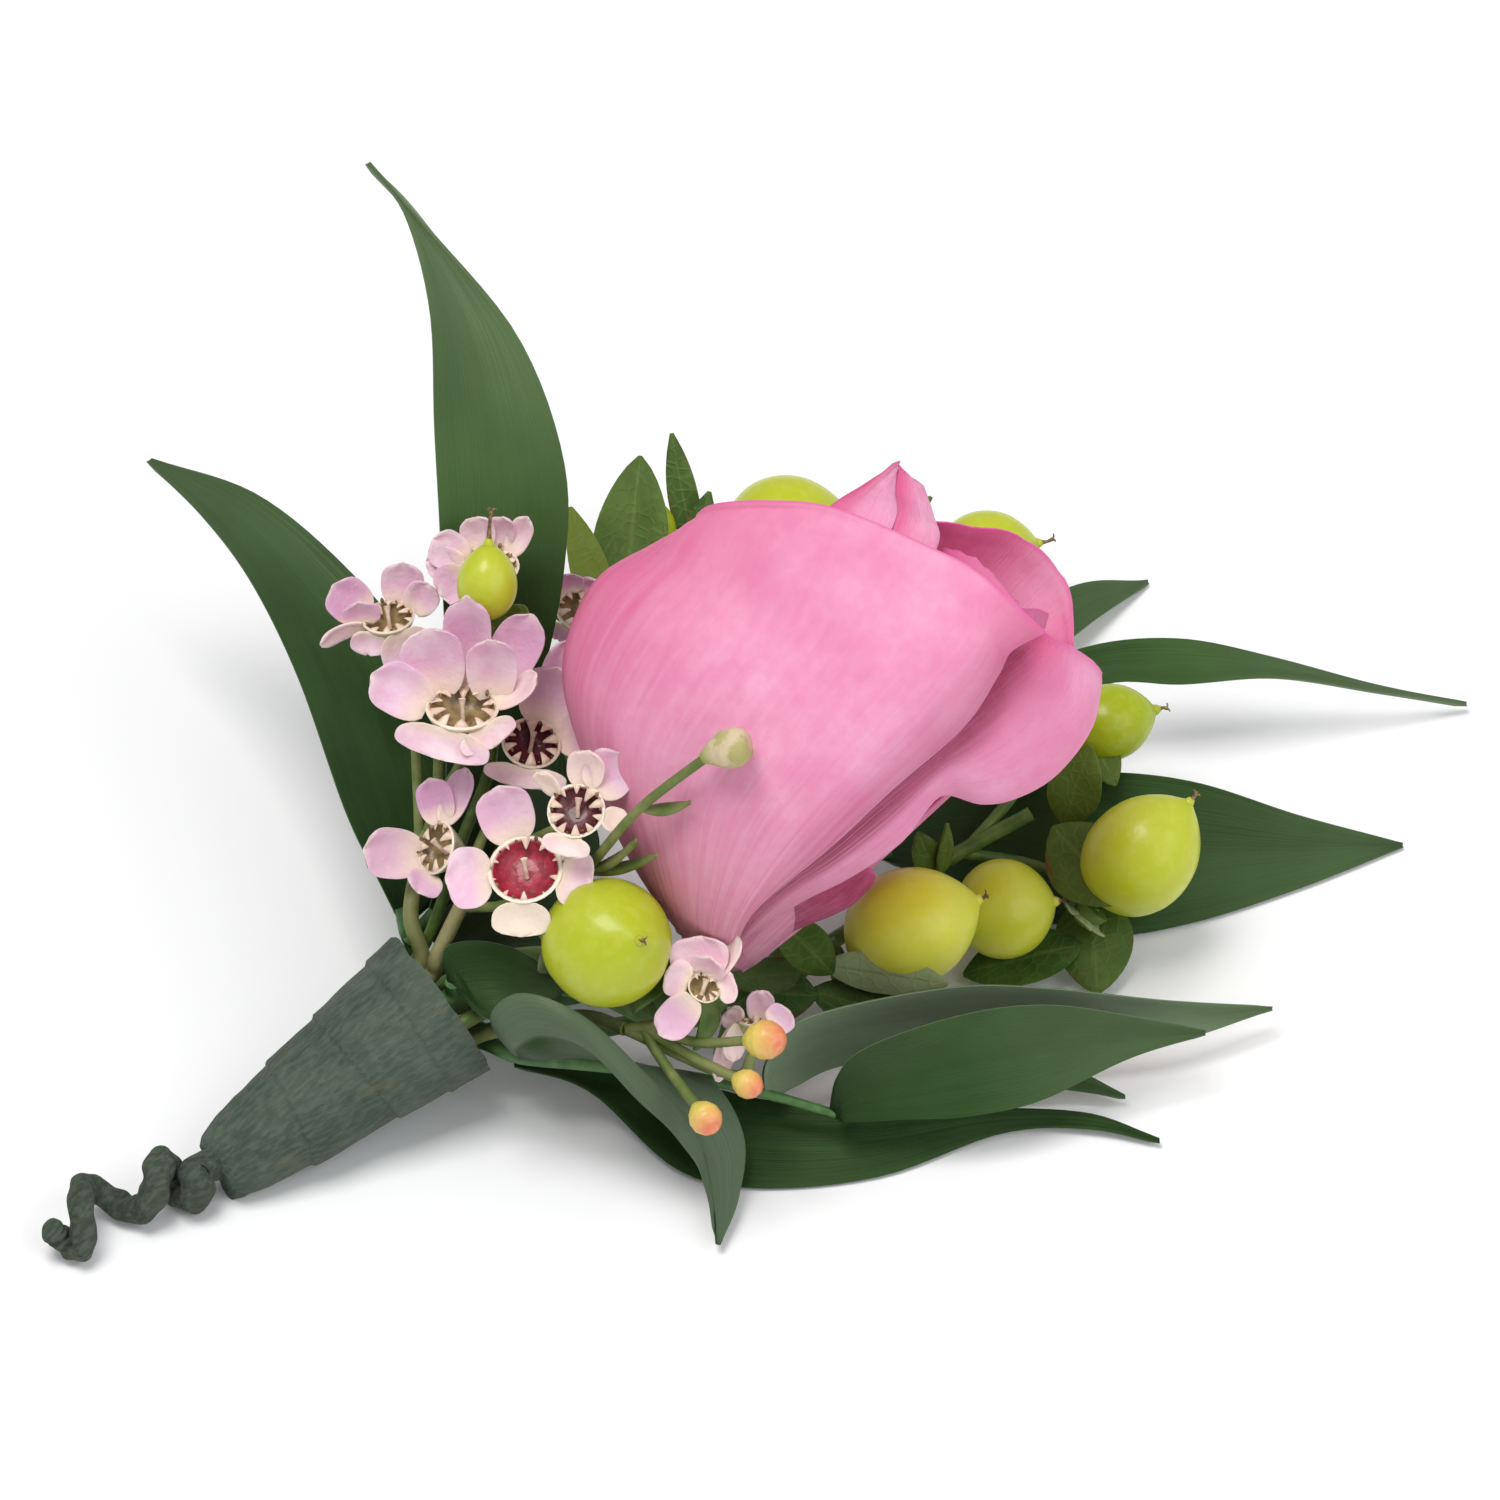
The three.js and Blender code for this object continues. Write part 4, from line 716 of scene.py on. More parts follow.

# each petal's net, its steps across and along, how far its rim rolls and ruffles, its seed,
# its pink from outer to inmost, and where painted shade darkens it
for net, across, along, roll, ruffle, seed, tone, painted_shade in (
    (front_petal, 40, 44, 0.5, 0.25, 1, 0.1, lambda u, v: max(0, u * 7 - 6) * 0.55),
    (turned_out_petal, 26, 60, 0.1, 0.12, 2, 0.3, lambda u, v: held(6 * (0.6 - 0.34 * v * v - u), 0, 0.8)),
    (right_back_petal, 22, 24, 0.3, 0.25, 7, 0.36, 0),
    (inner_whorl, 18, 20, -0.2, 0.25, 8, 0.75, 0),
    (back_petal, 30, 30, 0.3, 0.25, 3, 0.45, 0),
    (peak_left, 14, 30, 0, 0, 4, 0.2, 0),
    (peak_right, 14, 30, 0, 0, 9, 0.15, 0),
    (under_petal, 16, 16, 0, 0, 5, 1.0, 1),
):
    shaped = petal(net, across, along, roll, ruffle, seed)
    bloom.blade(shaped, PETAL_THICKNESS, tone=tone, turned=painted_shade, alike=True)
for wraps, along, seed, tone, inward in (
    (outer_wraps, 26, 10, 0.5, 0.07), (inner_wraps, 22, 20, 0.75, 0.05),
):
    for number, wrap in enumerate(wraps):
        shaped = petal(wrapped(*wrap), along=along, seed=seed + number)
        bloom.blade(shaped, PETAL_THICKNESS, tone=tone + number * inward, alike=True)
core = [(0.8, 2.2, 0), (2, 3.4, 0), (9, 6.8, -2), (18, 8, -0.5), (28, 7, 1.5), (34, 3.2, 2.2)]
bloom.rings([
    circle(in_rose(along, right), radius, rose_right, rose_front, ROSE_SIDES)
    for along, radius, right in core
], tone=0.95)

pink = Finish("rose_petal", {
    "Roughness": 0.6, "Specular IOR Level": 0.2, "Subsurface Weight": 0.2, "Subsurface Scale": 0.0015,
    "Subsurface Radius": (1.0, 0.3, 0.5),
})
across, along = pink.spot()
mottle = pink.clouds(900, 4, 0.3, 0.7)
veins = pink.streaks(55, 4, 0.6)
pink.base(pink.clouds(120, 2), (0.76, 0.25, 0.42), (0.83, 0.35, 0.52))
# Deeper pink towards one side of each petal: partly the petals' own colour, partly painted shade on the
# front petal's left side, which turns from the light, and in the crevice on the turned-out petal.
pink.over(pink.ramp(across, 0.55, 0.2), (0.68, 0.11, 0.26))
# Deeper pink on the inner petals and most of all on the petal under the bloom: partly their own colour,
# partly painted shade where they lie in shadow.
pink.over(pink.ramp(pink.mark("tone"), 0.35, 1), (0.6, 0.1, 0.26))
pink.over(pink.ramp(along, 0.4, 0.03), (0.54, 0.21, 0.27))
# Painted shade: the under mark darkens a band along the front petal's right edge, the crevice on the
# turned-out petal beneath that edge, and the whole petal under the bloom.
pink.over(pink.mark("under"), (0.3, 0.03, 0.08))
pink.over(veins, (0.93, 0.55, 0.7), pink.ramp(along, 0.75, 0.25, 0.05, 0.3))
pink.over(mottle, (0.74, 0.14, 0.34), 0.2)
pink.over(pink.ramp(along, 0.97, 1), (0.68, 0.1, 0.3), 0.6)
bloom.piece("rose_petals", [pink.done((mottle, 0.02), (veins, 0.035))], "rose_bloom")

# Ruscus. Long pointed leaves with fine veins from end to end, dark green and waxy above
# and paler beneath, that grow from thin wiry green stems. Some lie flat, some are curled.
LEAF_THICKNESS = 0.4
LEAF_COLS = 14
RIB_HALF_WIDTH = 0.05
RIB_DEPTH = 0.1
SHORT_STEM_RADII = [0.6, 0.75, 0.6]
LONG_STEM_RADII = [0.6, 0.75, 0.7, 0.6]


def leaf(left, right, tone, rib=None, fold=0.8, rows=44, wave=0.12, seed=0, turned=0.0):
    """Adds a leaf between two edges that share their stations from base to tip."""
    grid = []
    for i in range(rows + 1):
        t = i / rows
        a, c = on_curve(left, t), on_curve(right, t)
        normal = (c - a).cross(curve_heading(left, t) + curve_heading(right, t)).normalized()
        width = (c - a).length
        b = on_curve(rib, t) if rib else (a + c) / 2 - normal * fold * min(1, width / 6)
        row = []
        for j in range(LEAF_COLS + 1):
            s = j / LEAF_COLS
            point = a * (1 - s) * (1 - 2 * s) + b * 4 * s * (1 - s) + c * s * (2 * s - 1)
            lift = wave * math.sin(math.pi * t) * noise.noise(Vector((s * 2.2, t * 5, seed)))
            groove = -RIB_DEPTH * math.exp(-((s - 0.5) / RIB_HALF_WIDTH) ** 2) * min(1, width / 8)
            row.append(point + normal * (lift + groove))
        grid.append(row)
    sprig.blade(grid, LEAF_THICKNESS, tone=tone, turned=turned)


waxy = Finish("waxy_leaf", {"Specular IOR Level": 0.25, "Specular Tint": (0.8, 1.0, 0.6, 1.0)})
_, along = waxy.spot()
light = waxy.mark("tone")
cloudy = waxy.clouds(130, 3, 0.3, 0.7)
veins = waxy.streaks(70, 1.6, 0.5)
sheen_bands = waxy.streaks(6, 1.6, 0.8)
thin = waxy.math("MULTIPLY", veins, 0.1)
# Painted light and shade: each leaf's tone mark sets how light its green is, near black on leaves that lie
# in shade and lighter on lit, glossy ones, and it lightens the underside green too where an underside faces
# the light.
lit_green = waxy.blend(cloudy, (0.032, 0.078, 0.018), (0.048, 0.104, 0.028))
pale = waxy.blend(light, (0.055, 0.085, 0.05), (0.17, 0.23, 0.14))
waxy.base(cloudy, (0.006, 0.026, 0.004), (0.012, 0.04, 0.007))
waxy.over(light, lit_green)
# Painted sheen: broad streaks along the leaf are painted a lighter green; the same streaks also vary its
# roughness.
waxy.over(sheen_bands, lit_green, 0.4)
waxy.over(thin, (0.07, 0.13, 0.05))
# Painted shade: darker towards the leaf's base, where it lies under the flowers.
waxy.over(waxy.ramp(along, 0.5, 0.05), (0.007, 0.026, 0.004))
# Painted sheen: lighter towards the tip, as much as the leaf's tone mark says.
waxy.over(waxy.ramp(along, 0.5, 0.9), (0.11, 0.16, 0.08), light)
waxy.over(waxy.mark("under"), waxy.blend(thin, pale, (0.25, 0.3, 0.2)))
waxy.tree.links.new(waxy.ramp(sheen_bands, 0, 1, 0.34, 0.48), waxy.shader.inputs["Roughness"])

stem = Finish("ruscus_stem", {"Roughness": 0.5})
stem.base(stem.clouds(700), (0.04, 0.12, 0.03), (0.08, 0.19, 0.05))
ruscus_finishes = [waxy.done((veins, 0.02)), stem.done()]

# Each leaf's tone is painted light and shade: 0 for leaves in deep shade, up to 1 for lit ones.
sprig = Skin()
leaf(
    [(11.2, 15, 13.6), (9.6, 17.5, 15.6), (7, 22.5, 18), (2.9, 34.8, 20.5), (-1.1, 43.8, 22.5),
     (-5.4, 51.1, 23), (-10.5, 58.9, 22)],
    [(12.6, 15.2, 13), (15.4, 19.5, 13.4), (16.6, 28.9, 14.4), (12.6, 39.6, 17.8), (6.8, 46.6, 21),
     (-1, 53.8, 23), (-10.1, 59.3, 22)], seed=1, tone=0.35,
)
leaf(
    [(13.6, 14.4, 14), (14.8, 20, 16.8), (15, 30, 23), (14.5, 39, 32), (14, 45.7, 38),
     (13.5, 54.7, 42.5), (11.3, 63.4, 45), (8, 68.5, 46)],
    [(14.6, 14.6, 14), (19.5, 23, 15), (22.3, 34, 20), (24.3, 39.6, 28), (24.3, 46, 34),
     (20.5, 54.4, 40), (13, 62.3, 45), (8.4, 68.8, 46)], seed=2, tone=0.95,
)
leaf(
    [(14.4, 13, 12), (17, 17.4, 11.6), (22, 21.6, 9), (26, 22.6, 6.4), (29.4, 22, 4.6)],
    [(15.4, 12, 11.4), (20.4, 12.4, 9.6), (25, 14.6, 7.4), (28, 18, 5.4), (29.8, 21.6, 4.6)],
    rows=28, seed=12, tone=0,
)
leaf(
    [(13.4, 15.4, 12), (17, 24, 10.6), (20, 33, 9), (23.4, 40.4, 7.6)],
    [(15, 13.6, 11.2), (22.6, 20.4, 7.6), (27, 29.6, 6), (23.8, 40, 7.4)], rows=28, seed=13, tone=0,
)
sprig.tube(rooted(8, [(12, 14.4, 12.6), (11.6, 15.6, 14)]), SHORT_STEM_RADII, finish=1)
sprig.tube([(12.1, 13.8, 12), (13, 14.2, 13), (14.2, 15, 14.2)], [0.6, 0.5], finish=1)
sprig.piece("ruscus_sprig_left", ruscus_finishes, "ruscus_left")

sprig = Skin()
leaf(
    [(20.5, 6.4, 6.2), (26.5, 8, 4.5), (35.2, 6.2, 3.5), (40.8, 4.8, 3.2), (48.7, 4, 3),
     (58.3, 4.9, 2.2), (66.1, 5.1, 1.4), (71.7, 3, 0.7)],
    [(20.6, 5.6, 6.2), (26.5, 5.6, 3.3), (33.3, -0.4, 0.9), (40, -2, 0.36), (49.6, -0.7, 0.36),
     (59.2, 3.7, 0.5), (66.1, 3.8, 0.9), (71.7, 2.5, 0.7)], fold=0.3, wave=0.05, seed=3, tone=0,
)
leaf(
    [(20.6, 6, 7.2), (18.9, 3.2, 14.5), (21.3, 3.5, 17), (26, 1.7, 16.5), (30.6, -0.3, 12.5),
     (34.9, -2, 7), (36.2, -4.6, 3), (36.5, -8.5, 1.1)],
    [(21.4, 6, 7.2), (23.3, 3.6, 9.4), (26.6, 3.1, 10), (31.2, 2.7, 9.5), (36.1, 2.5, 8),
     (38.7, -0.2, 4.4), (38.3, -4.6, 2), (36.9, -8.6, 1.1)],
    rib=[(21, 5.8, 7.2), (21.2, 1.9, 12.5), (23.4, 1.6, 14), (26.9, 0.1, 14), (31, -1.9, 10.5),
         (34.8, -2.9, 5.6), (36.2, -4.7, 2.6), (36.7, -8.6, 1.1)],
    wave=0.05, seed=4, tone=0.15, turned=lambda across, along: across < 0.5,
)
leaf(
    [(40.3, 3, 6), (40.6, 3.3, 9.5), (43.5, 5, 12.5), (54.9, 7.4, 13.5), (62.9, 8.7, 12),
     (72.4, 11.6, 7.5), (81.1, 15.2, 3)],
    [(41.2, 2.4, 6), (42.8, 4.6, 5), (47.1, 7.6, 4.4), (57.1, 8.4, 4.2), (64.7, 9.4, 3.7),
     (72.7, 10.8, 3.4), (81.1, 14.8, 3)], seed=5, tone=0.9,
    turned=lambda across, along: held(8 * (0.86 + 0.12 * across - along)),
)
leaf(
    [(45.4, 2.2, 4.6), (46, 1.9, 9), (48.3, 2.3, 12), (55.7, 4.4, 13.5), (62.8, 6.4, 12.5),
     (70.9, 8.6, 8.5), (75.4, 9.8, 6)],
    [(46.1, 1.5, 4.6), (47.1, 0.8, 5), (51.4, 1.1, 5), (56.2, 1.4, 5), (62.1, 3.1, 5),
     (69.3, 7, 5.7), (75.4, 9.3, 6)], seed=6, tone=0.45,
)
leaf(
    [(51.5, 6.8, 4.6), (59.1, 9.6, 3.6), (65.1, 9, 2.2), (69.1, 7.3, 1.1)],
    [(51.5, 5.9, 4.6), (59.3, 6.8, 3), (64.8, 7.2, 1.8), (69.1, 6.9, 1.1)],
    fold=0.3, rows=24, seed=7, tone=0.4,
)
sprig.tube(
    rooted(226, [(21, 6, 7), (27.3, 5.4, 6.6), (35.2, 4.4, 6.2), (40.8, 2.8, 6), (46, 1.9, 4.8)]),
    [0.6, 0.75, 0.55, 0.45, 0.35], finish=1,
)
sprig.tube([(46, 1.9, 4.8), (48.5, 4.5, 4.4), (52.5, 6.4, 4.6)], [0.35, 0.3], finish=1)
sprig.piece("ruscus_sprig_front", ruscus_finishes, "ruscus_front")

sprig = Skin()
leaf(
    [(47.4, 35.5, 7), (54.1, 46.8, 7.5), (65.3, 62.3, 3.9), (73, 67.4, 0.39)],
    [(47.8, 34.5, 7), (57, 44.1, 5), (66.6, 58.4, 2.6), (73.1, 66.9, 0.39)], seed=8, tone=0.5,
)
leaf(
    [(51.8, 33.5, 8), (59.3, 43.8, 10.5), (66.6, 48.7, 10.5), (74.4, 50.4, 10), (82.3, 50.3, 8),
     (91.9, 50.8, 4), (99.1, 52, 1)],
    [(52.2, 32.6, 8), (60.9, 40.5, 8), (68.1, 46.3, 8.5), (74.9, 46.5, 8.5), (83.1, 48.2, 7.5),
     (91.9, 50, 4), (99.1, 51.5, 1)], seed=9, tone=0.85,
)
leaf(
    [(48.4, 31.4, 5.6), (56.4, 37.4, 6.8), (67.5, 36.4, 8.4), (75.5, 35.6, 8), (84.2, 34.7, 5),
     (92.9, 36.1, 0.4)],
    [(50.1, 28.7, 6), (59.5, 27, 2.5), (67.7, 25.4, 0.7), (75, 26.9, 0.4), (84.2, 30.9, 0.4),
     (92.9, 35.6, 0.4)], wave=0.05, seed=10, tone=0.28,
)
sprig.tube(
    rooted(300, [(20, 13.5, 5), (28, 17.5, 3), (38, 23.5, 3.6), (46, 30, 6), (47.8, 35.6, 7)]),
    LONG_STEM_RADII, finish=1,
)
sprig.tube([(42, 26.5, 4.8), (47.5, 30.5, 7), (52.6, 33.9, 8.2)], [0.6, 0.5], finish=1)
sprig.tube([(42, 26.5, 4.8), (46.5, 28, 5.8), (50.6, 29.5, 6.1)], [0.6, 0.5], finish=1)
sprig.piece("ruscus_sprig_back", ruscus_finishes, "ruscus_back")

sprig = Skin()
leaf(
    [(15.4, 7.4, 14.2), (15.2, 9, 16.2), (17.6, 9.6, 16.5), (20.7, 9.6, 15.6), (23, 8.7, 14.6),
     (24.8, 7.6, 13.8)],
    [(15.9, 7, 13.9), (18.2, 4.9, 12.8), (19.8, 4.9, 12.6), (22, 5.2, 12.8), (23.8, 6.4, 13.2),
     (25, 7.2, 13.6)], rows=28, seed=11, tone=0.5,
)
sprig.tube(rooted(126, [(15.8, 7.3, 14.1)]), SHORT_STEM_RADII, finish=1)
sprig.piece("ruscus_leaf_small", ruscus_finishes, "ruscus_small")

# Hypericum berries. Smooth, firm, glossy fruits the shape of an egg, yellow-green with a
# darker green tip and one of them blushed red; each ends in a dry brown bristle.
BERRIES = {
    # centre, direction, length, radius, reach of its sepals, length of its style, blush, greenness
    "berry_front": ((28.2, 5.9, 20.2), (0.45, -0.6, 0.66), 10.8, 5.1, 0.68, 0.5, 0.0, 0.8),
    # berry_right_1 has no greenness: painted light, so that it shows bright in the shade of the rose.
    "berry_right_1": ((52.2, 18.2, 9.2), (0.92, 0.175, 0.35), 11.2, 4.8, 0.68, 0.8, 1.0, 0.0),
    "berry_right_2": ((59.9, 23, 6.2), (0.9, -0.15, 0.35), 8.2, 4.1, 0.68, 0.9, 0.0, 0.4),
    "berry_right_3": ((70.8, 24.8, 10.8), (0.6, 0.35, 0.6), 11, 4.5, 0.5, 1.0, 0.0, 0.7),
    "berry_right_4": ((68.6, 38.9, 11.6), (0.9, 0.25, 0.1), 7.6, 3.2, 0.68, 1.0, 0.0, 1.0),
    "berry_back_1": ((42.3, 66.1, 7.6), (0.9, 0.3, 0.1), 10.5, 4.6, 0.68, 0.9, 0.0, 0.72),
    "berry_back_2": ((59.3, 65.5, 5.4), (0.95, 0.2, 0.05), 8.5, 3.6, 0.68, 1.4, 0.0, 0.72),
    "berry_left": ((18.5, 30.6, 35.4), (0.05, 0.5, 0.85), 6.2, 2.4, 0.5, 2.7, 0.0, 0.75),
    "berry_left_2": ((31.2, 64, 9.8), (-0.1, 0.6, 0.7), 4.6, 1.8, 0.68, 0.6, 0.0, 1.0),
}
berry_profile = [
    (-1, 0.08), (-0.97, 0.24), (-0.9, 0.45), (-0.78, 0.66), (-0.6, 0.83), (-0.38, 0.95),
    (-0.12, 1), (0.15, 0.97), (0.4, 0.87), (0.6, 0.72), (0.76, 0.54), (0.88, 0.36), (0.96, 0.2), (1.01, 0.1),
]
BERRY_RINGS = 36
BERRY_SIDES = 40
BLUSH_SIDE = Vector((-0.62, 0.7, 0.35))

berry = Finish("berry_skin", {
    "Roughness": 0.36, "Specular IOR Level": 0.3, "Coat Weight": 0.2, "Coat Roughness": 0.15,
    "Subsurface Weight": 0.15, "Subsurface Scale": 0.0015, "Subsurface Radius": (0.8, 1.0, 0.1),
})
_, along = berry.spot()
fleck = berry.clouds(1100, 2, 0.4, 0.75)
berry.base(berry.clouds(180, 2, 0.3, 0.7), (0.82, 0.82, 0.05), (0.92, 0.9, 0.12))
# The yellow is bright and each berry's greenness darkens it; the berry under the rose has none, as painted
# light against the rose's shadow.
berry.over(berry.mark("tone"), (0.34, 0.41, 0.003))
berry.over(berry.ramp(along, 0.62, 1), (0.36, 0.44, 0.015), 0.35)
berry.over(fleck, (0.7, 0.74, 0.2), 0.12)
berry.over(berry.mark("under"), (0.52, 0.16, 0.03))

dry = Finish("dry_brown", {"Roughness": 0.85})
dry.base(dry.clouds(2500), (0.1, 0.05, 0.025), (0.3, 0.2, 0.1))
dry_brown = dry.done()
berry_finishes = [berry.done((fleck, 0.015)), dry_brown]

for name, (centre, direction, length, radius, _, style, blush, greenness) in BERRIES.items():
    centre, ahead = Vector(centre), Vector(direction).normalized()
    side = square_to(ahead, (0.3, -0.2, 1))
    other = ahead.cross(side)
    fruit = Skin()
    rings = []
    for i in range(BERRY_RINGS + 1):
        along, wide = on_curve([(a, w, 0) for a, w in berry_profile], i / BERRY_RINGS)[:2]
        ring = []
        for j in range(BERRY_SIDES):
            angle = j / BERRY_SIDES * math.tau
            lobed = 1 - 0.018 * max(0, math.cos(3 * angle)) ** 4
            middle = centre + ahead * along * length / 2
            ring.append(middle + wide * radius * lobed * towards(angle, side, other))
        rings.append(ring)
    fruit.rings(rings, tone=greenness)
    fruit.under = [
        blush * held(((p - centre).normalized().dot(BLUSH_SIDE) - 0.55) / 0.4) * 0.8 for p in fruit.points
    ]
    tip = centre + ahead * length / 2
    bend = side * 0.4 * math.sin(centre.x) + other * 0.3 * math.cos(centre.x)
    end = tip + ahead * style + bend * 0.4
    foot_line = [tip + ahead * reach for reach in (-0.35, 0.15, 0.45)]
    fruit.tube(foot_line, [0.55, 0.42, 0.26], sides=10, per_span=4, tone=greenness)
    bristle_line = [tip + ahead * 0.2, tip + ahead * (0.2 + style * 0.5), end]
    fruit.tube(bristle_line, [0.24, 0.13, 0.17], sides=8, per_span=5, finish=1)
    for turn in (-0.5, 0.6, 1.7):
        out = towards(turn * 2, side, other)
        hook_line = [end - ahead * 0.1, end + ahead * 0.1 + out * 0.2, end + ahead * 0.1 + out * 0.45]
        fruit.tube(hook_line, [0.11, 0.08, 0.05], sides=6, per_span=3, finish=1)
    fruit.piece(name + "_fruit", berry_finishes, name)

# Hypericum stalks. Smooth green stems that fork to a berry each, with five short sepals
# under it, and small oval leaves, grey-green above, some with brown spots and edges.
SMALL_LEAF_THICKNESS = 0.35

spotted = Finish("spotted_leaf", {
    "Roughness": 0.5, "Specular IOR Level": 0.25, "Specular Tint": (0.85, 1.0, 0.6, 1.0),
})
across, _ = spotted.spot()
net = spotted.add("ShaderNodeTexVoronoi", {
    "Vector": spotted.add("ShaderNodeTexCoord").outputs["Object"], "Scale": 900.0,
}, feature="DISTANCE_TO_EDGE")
netted = spotted.ramp(net.outputs["Distance"], 0.12, 0)
from_middle = spotted.math("ABSOLUTE", spotted.ramp(across, 0, 1, -1, 1))
spotted.base(spotted.clouds(320), (0.03, 0.075, 0.012), (0.058, 0.115, 0.022))
spotted.over(spotted.mark("tone"), (0.15, 0.2, 0.025))
spotted.over(spotted.mark("under"), (0.27, 0.33, 0.16))
spotted.over(netted, (0.2, 0.28, 0.1), 0.12)
spotted.over(spotted.ramp(from_middle, 0.1, 0), (0.14, 0.2, 0.05), 0.5)
brown_edge = spotted.ramp(from_middle, 0.72, 1)
spotted.over(brown_edge, (0.13, 0.05, 0.02), spotted.clouds(300, 4, 0.5, 0.7))

stem = Finish("green_stalk", {"Roughness": 0.5})
stem.base(stem.clouds(600), (0.06, 0.13, 0.015), (0.12, 0.2, 0.03))
hypericum_finishes = [spotted.done((netted, 0.03)), stem.done()]


def berry_stalk(name, points, radius=0.6):
    """A stalk to the foot of a berry, a small green cup and five sepals round it."""
    centre, direction, length, wide, reach, *_ = BERRIES[name]
    ahead = Vector(direction).normalized()
    seat = Vector(centre) - ahead * (length / 2 + 0.35)
    side = square_to(ahead, (0.2, -0.5, 1))
    other = ahead.cross(side)
    stalks.tube([*points, seat - ahead * 1.5, seat], [radius, radius], sides=10, finish=1)
    cup = ((-1.9, 0.5), (-1.5, 0.9), (-0.8, wide * 0.3), (-0.2, wide * 0.34), (-0.1, wide * 0.2))
    stalks.rings([circle(seat + ahead * along, r, side, other, 16) for along, r in cup], finish=1)
    for k in range(SEPALS):
        angle = k / SEPALS * math.tau + 0.2
        out, around = towards(angle, side, other), towards(angle, other, -side)
        sepal = small_leaf(
            seat - ahead * 0.9 + out * 0.5, seat - ahead * 1.3 + out * wide * reach, wide * 0.42, around,
            rise=0.35, rows=10, belly=0.5,
        )
        stalks.blade(sepal, 0.3, tone=0.5)


stalks = Skin()
berry_stalk("berry_front", rooted(162, [(20.6, 9, 10.9), (24.8, 10.8, 12.6)]), 0.65)
stalks.piece("hypericum_stalk_front", hypericum_finishes, "hypericum_front")

stalks = Skin()
stalks.tube(rooted(266, [
    (20, 9.5, 5.6), (28, 11.5, 4.5), (38, 15.5, 4), (47, 22, 4.5), (55, 28.5, 6), (62, 31.5, 8.5),
]), LONG_STEM_RADII, finish=1)
berry_stalk("berry_right_1", [(39.5, 16.5, 4.1), (43, 19, 7)])
berry_stalk("berry_right_2", [(49.5, 24, 4.8), (52.5, 23.9, 4.6)], 0.5)
berry_stalk("berry_right_3", [(56, 29.4, 6.2), (63.4, 28.8, 4.6)], 0.5)
berry_stalk("berry_right_4", [(57, 29.6, 6.6), (60.4, 33.4, 8.4), (62, 36.2, 10.2)], 0.5)
for base, tip, width, broadside, tone, pale in [
    ((44.8, 14.2, 9), (55, 12.4, 8.6), 3.4, (0.1, 0.6, 0.75), 0.3, 1),
    ((45.8, 12.6, 9.6), (40.8, 12.8, 16.6), 3.8, (0.75, 0.5, 0.4), 0.15, 0),
    ((44, 13.6, 6.6), (56, 11.8, 3.4), 5, (0.1, 0.7, 0.6), 0, 0),
    ((44.6, 13.2, 6.4), (36.6, 13.4, 6.8), 5, (0.1, 0.7, 0.6), 0, 0),
    ((44, 14.8, 7.6), (36.8, 12.8, 8.8), 3, (0.2, 0.6, 0.7), 0.05, 0.15),
    ((63.6, 27.6, 11), (69.2, 20.6, 9.4), 6.6, (0.7, 0.5, 0.45), 0.3, 0),
    ((66.8, 25.6, 5.8), (67.2, 18.2, 1.2), 6.4, (0.98, 0.1, 0.1), 0.2, 0),
    ((66, 21.6, 3.4), (56.4, 20.2, 1.4), 5.2, (0.2, 0.9, 0.3), 0.0, 0),
    ((64.6, 29.8, 8.8), (66.6, 32, 15.8), 4.4, (0.9, -0.3, -0.1), 0.5, 0),
    ((68.9, 33.8, 9.4), (66.2, 38.6, 11.6), 3.2, (0.8, 0.5, 0.2), 0.3, 0),
    ((54, 24, 9.4), (52.6, 24.4, 13.6), 2.6, (0.9, 0.3, 0.2), 0.15, 0),
    ((54.4, 23.6, 9.4), (55, 24.8, 14.2), 1.4, (0.9, 0.3, 0.2), 0.3, 0),
]:
    shape = small_leaf(base, tip, width, broadside)
    stalks.blade(shape, SMALL_LEAF_THICKNESS, tone=tone, turned=pale, alike=True)
stalks.piece("hypericum_stalk_right", hypericum_finishes, "hypericum_right")

stalks = Skin()
stalks.tube(
    rooted(336, [(17.5, 18, 8.4), (21, 30, 7), (25, 44, 6), (30, 56, 6.5), (33.5, 61, 7)]),
    LONG_STEM_RADII, finish=1,
)
berry_stalk("berry_back_1", [(30, 56, 6.5), (33, 62, 7.6)])
berry_stalk("berry_back_2", [(25, 44, 6), (38, 56, 4.5), (48, 62.5, 5)], 0.55)
berry_stalk("berry_left_2", [(30, 56, 6.5), (30.6, 60, 6.8)], 0.5)
for base, tip, width, broadside, tone in [
    ((28.6, 55, 6.8), (30, 68, 14.2), 6.4, (1, 0, 0.1), 0.2),
    ((27.6, 52.6, 6.6), (24.2, 62.6, 13.4), 3.4, (0.9, 0.3, 0), 0.9),
    ((34.6, 63, 7.1), (32.6, 71, 14), 2.6, (1, 0.1, 0.2), 0.1),
    ((34.4, 62.9, 7.1), (35.8, 66.4, 11.6), 2.4, (1, -0.2, 0), 0.0),
    ((48, 62.5, 5), (54.5, 68.5, 9), 2.6, (0.7, -0.7, 0), 0.3),
    ((30, 56, 6.6), (22, 53, 11), 4.4, (0, 1, 0.4), 0.4),
]:
    stalks.blade(small_leaf(base, tip, width, broadside), SMALL_LEAF_THICKNESS, tone=tone)
stalks.piece("hypericum_stalk_back", hypericum_finishes, "hypericum_back")

stalks = Skin()
stalk_line = rooted(36, [(14.8, 14.4, 15.7), (16.4, 19.6, 17.8), (18.6, 25, 21), (18.4, 27.6, 26.5)])
berry_stalk("berry_left", stalk_line, 0.5)
shape = small_leaf((17.2, 30.4, 25.4), (21.4, 31.6, 31.8), 6.4, (0.8, -0.4, -0.45))
stalks.blade(shape, SMALL_LEAF_THICKNESS, tone=0.35)
stalks.piece("hypericum_stalk_left", hypericum_finishes, "hypericum_left")

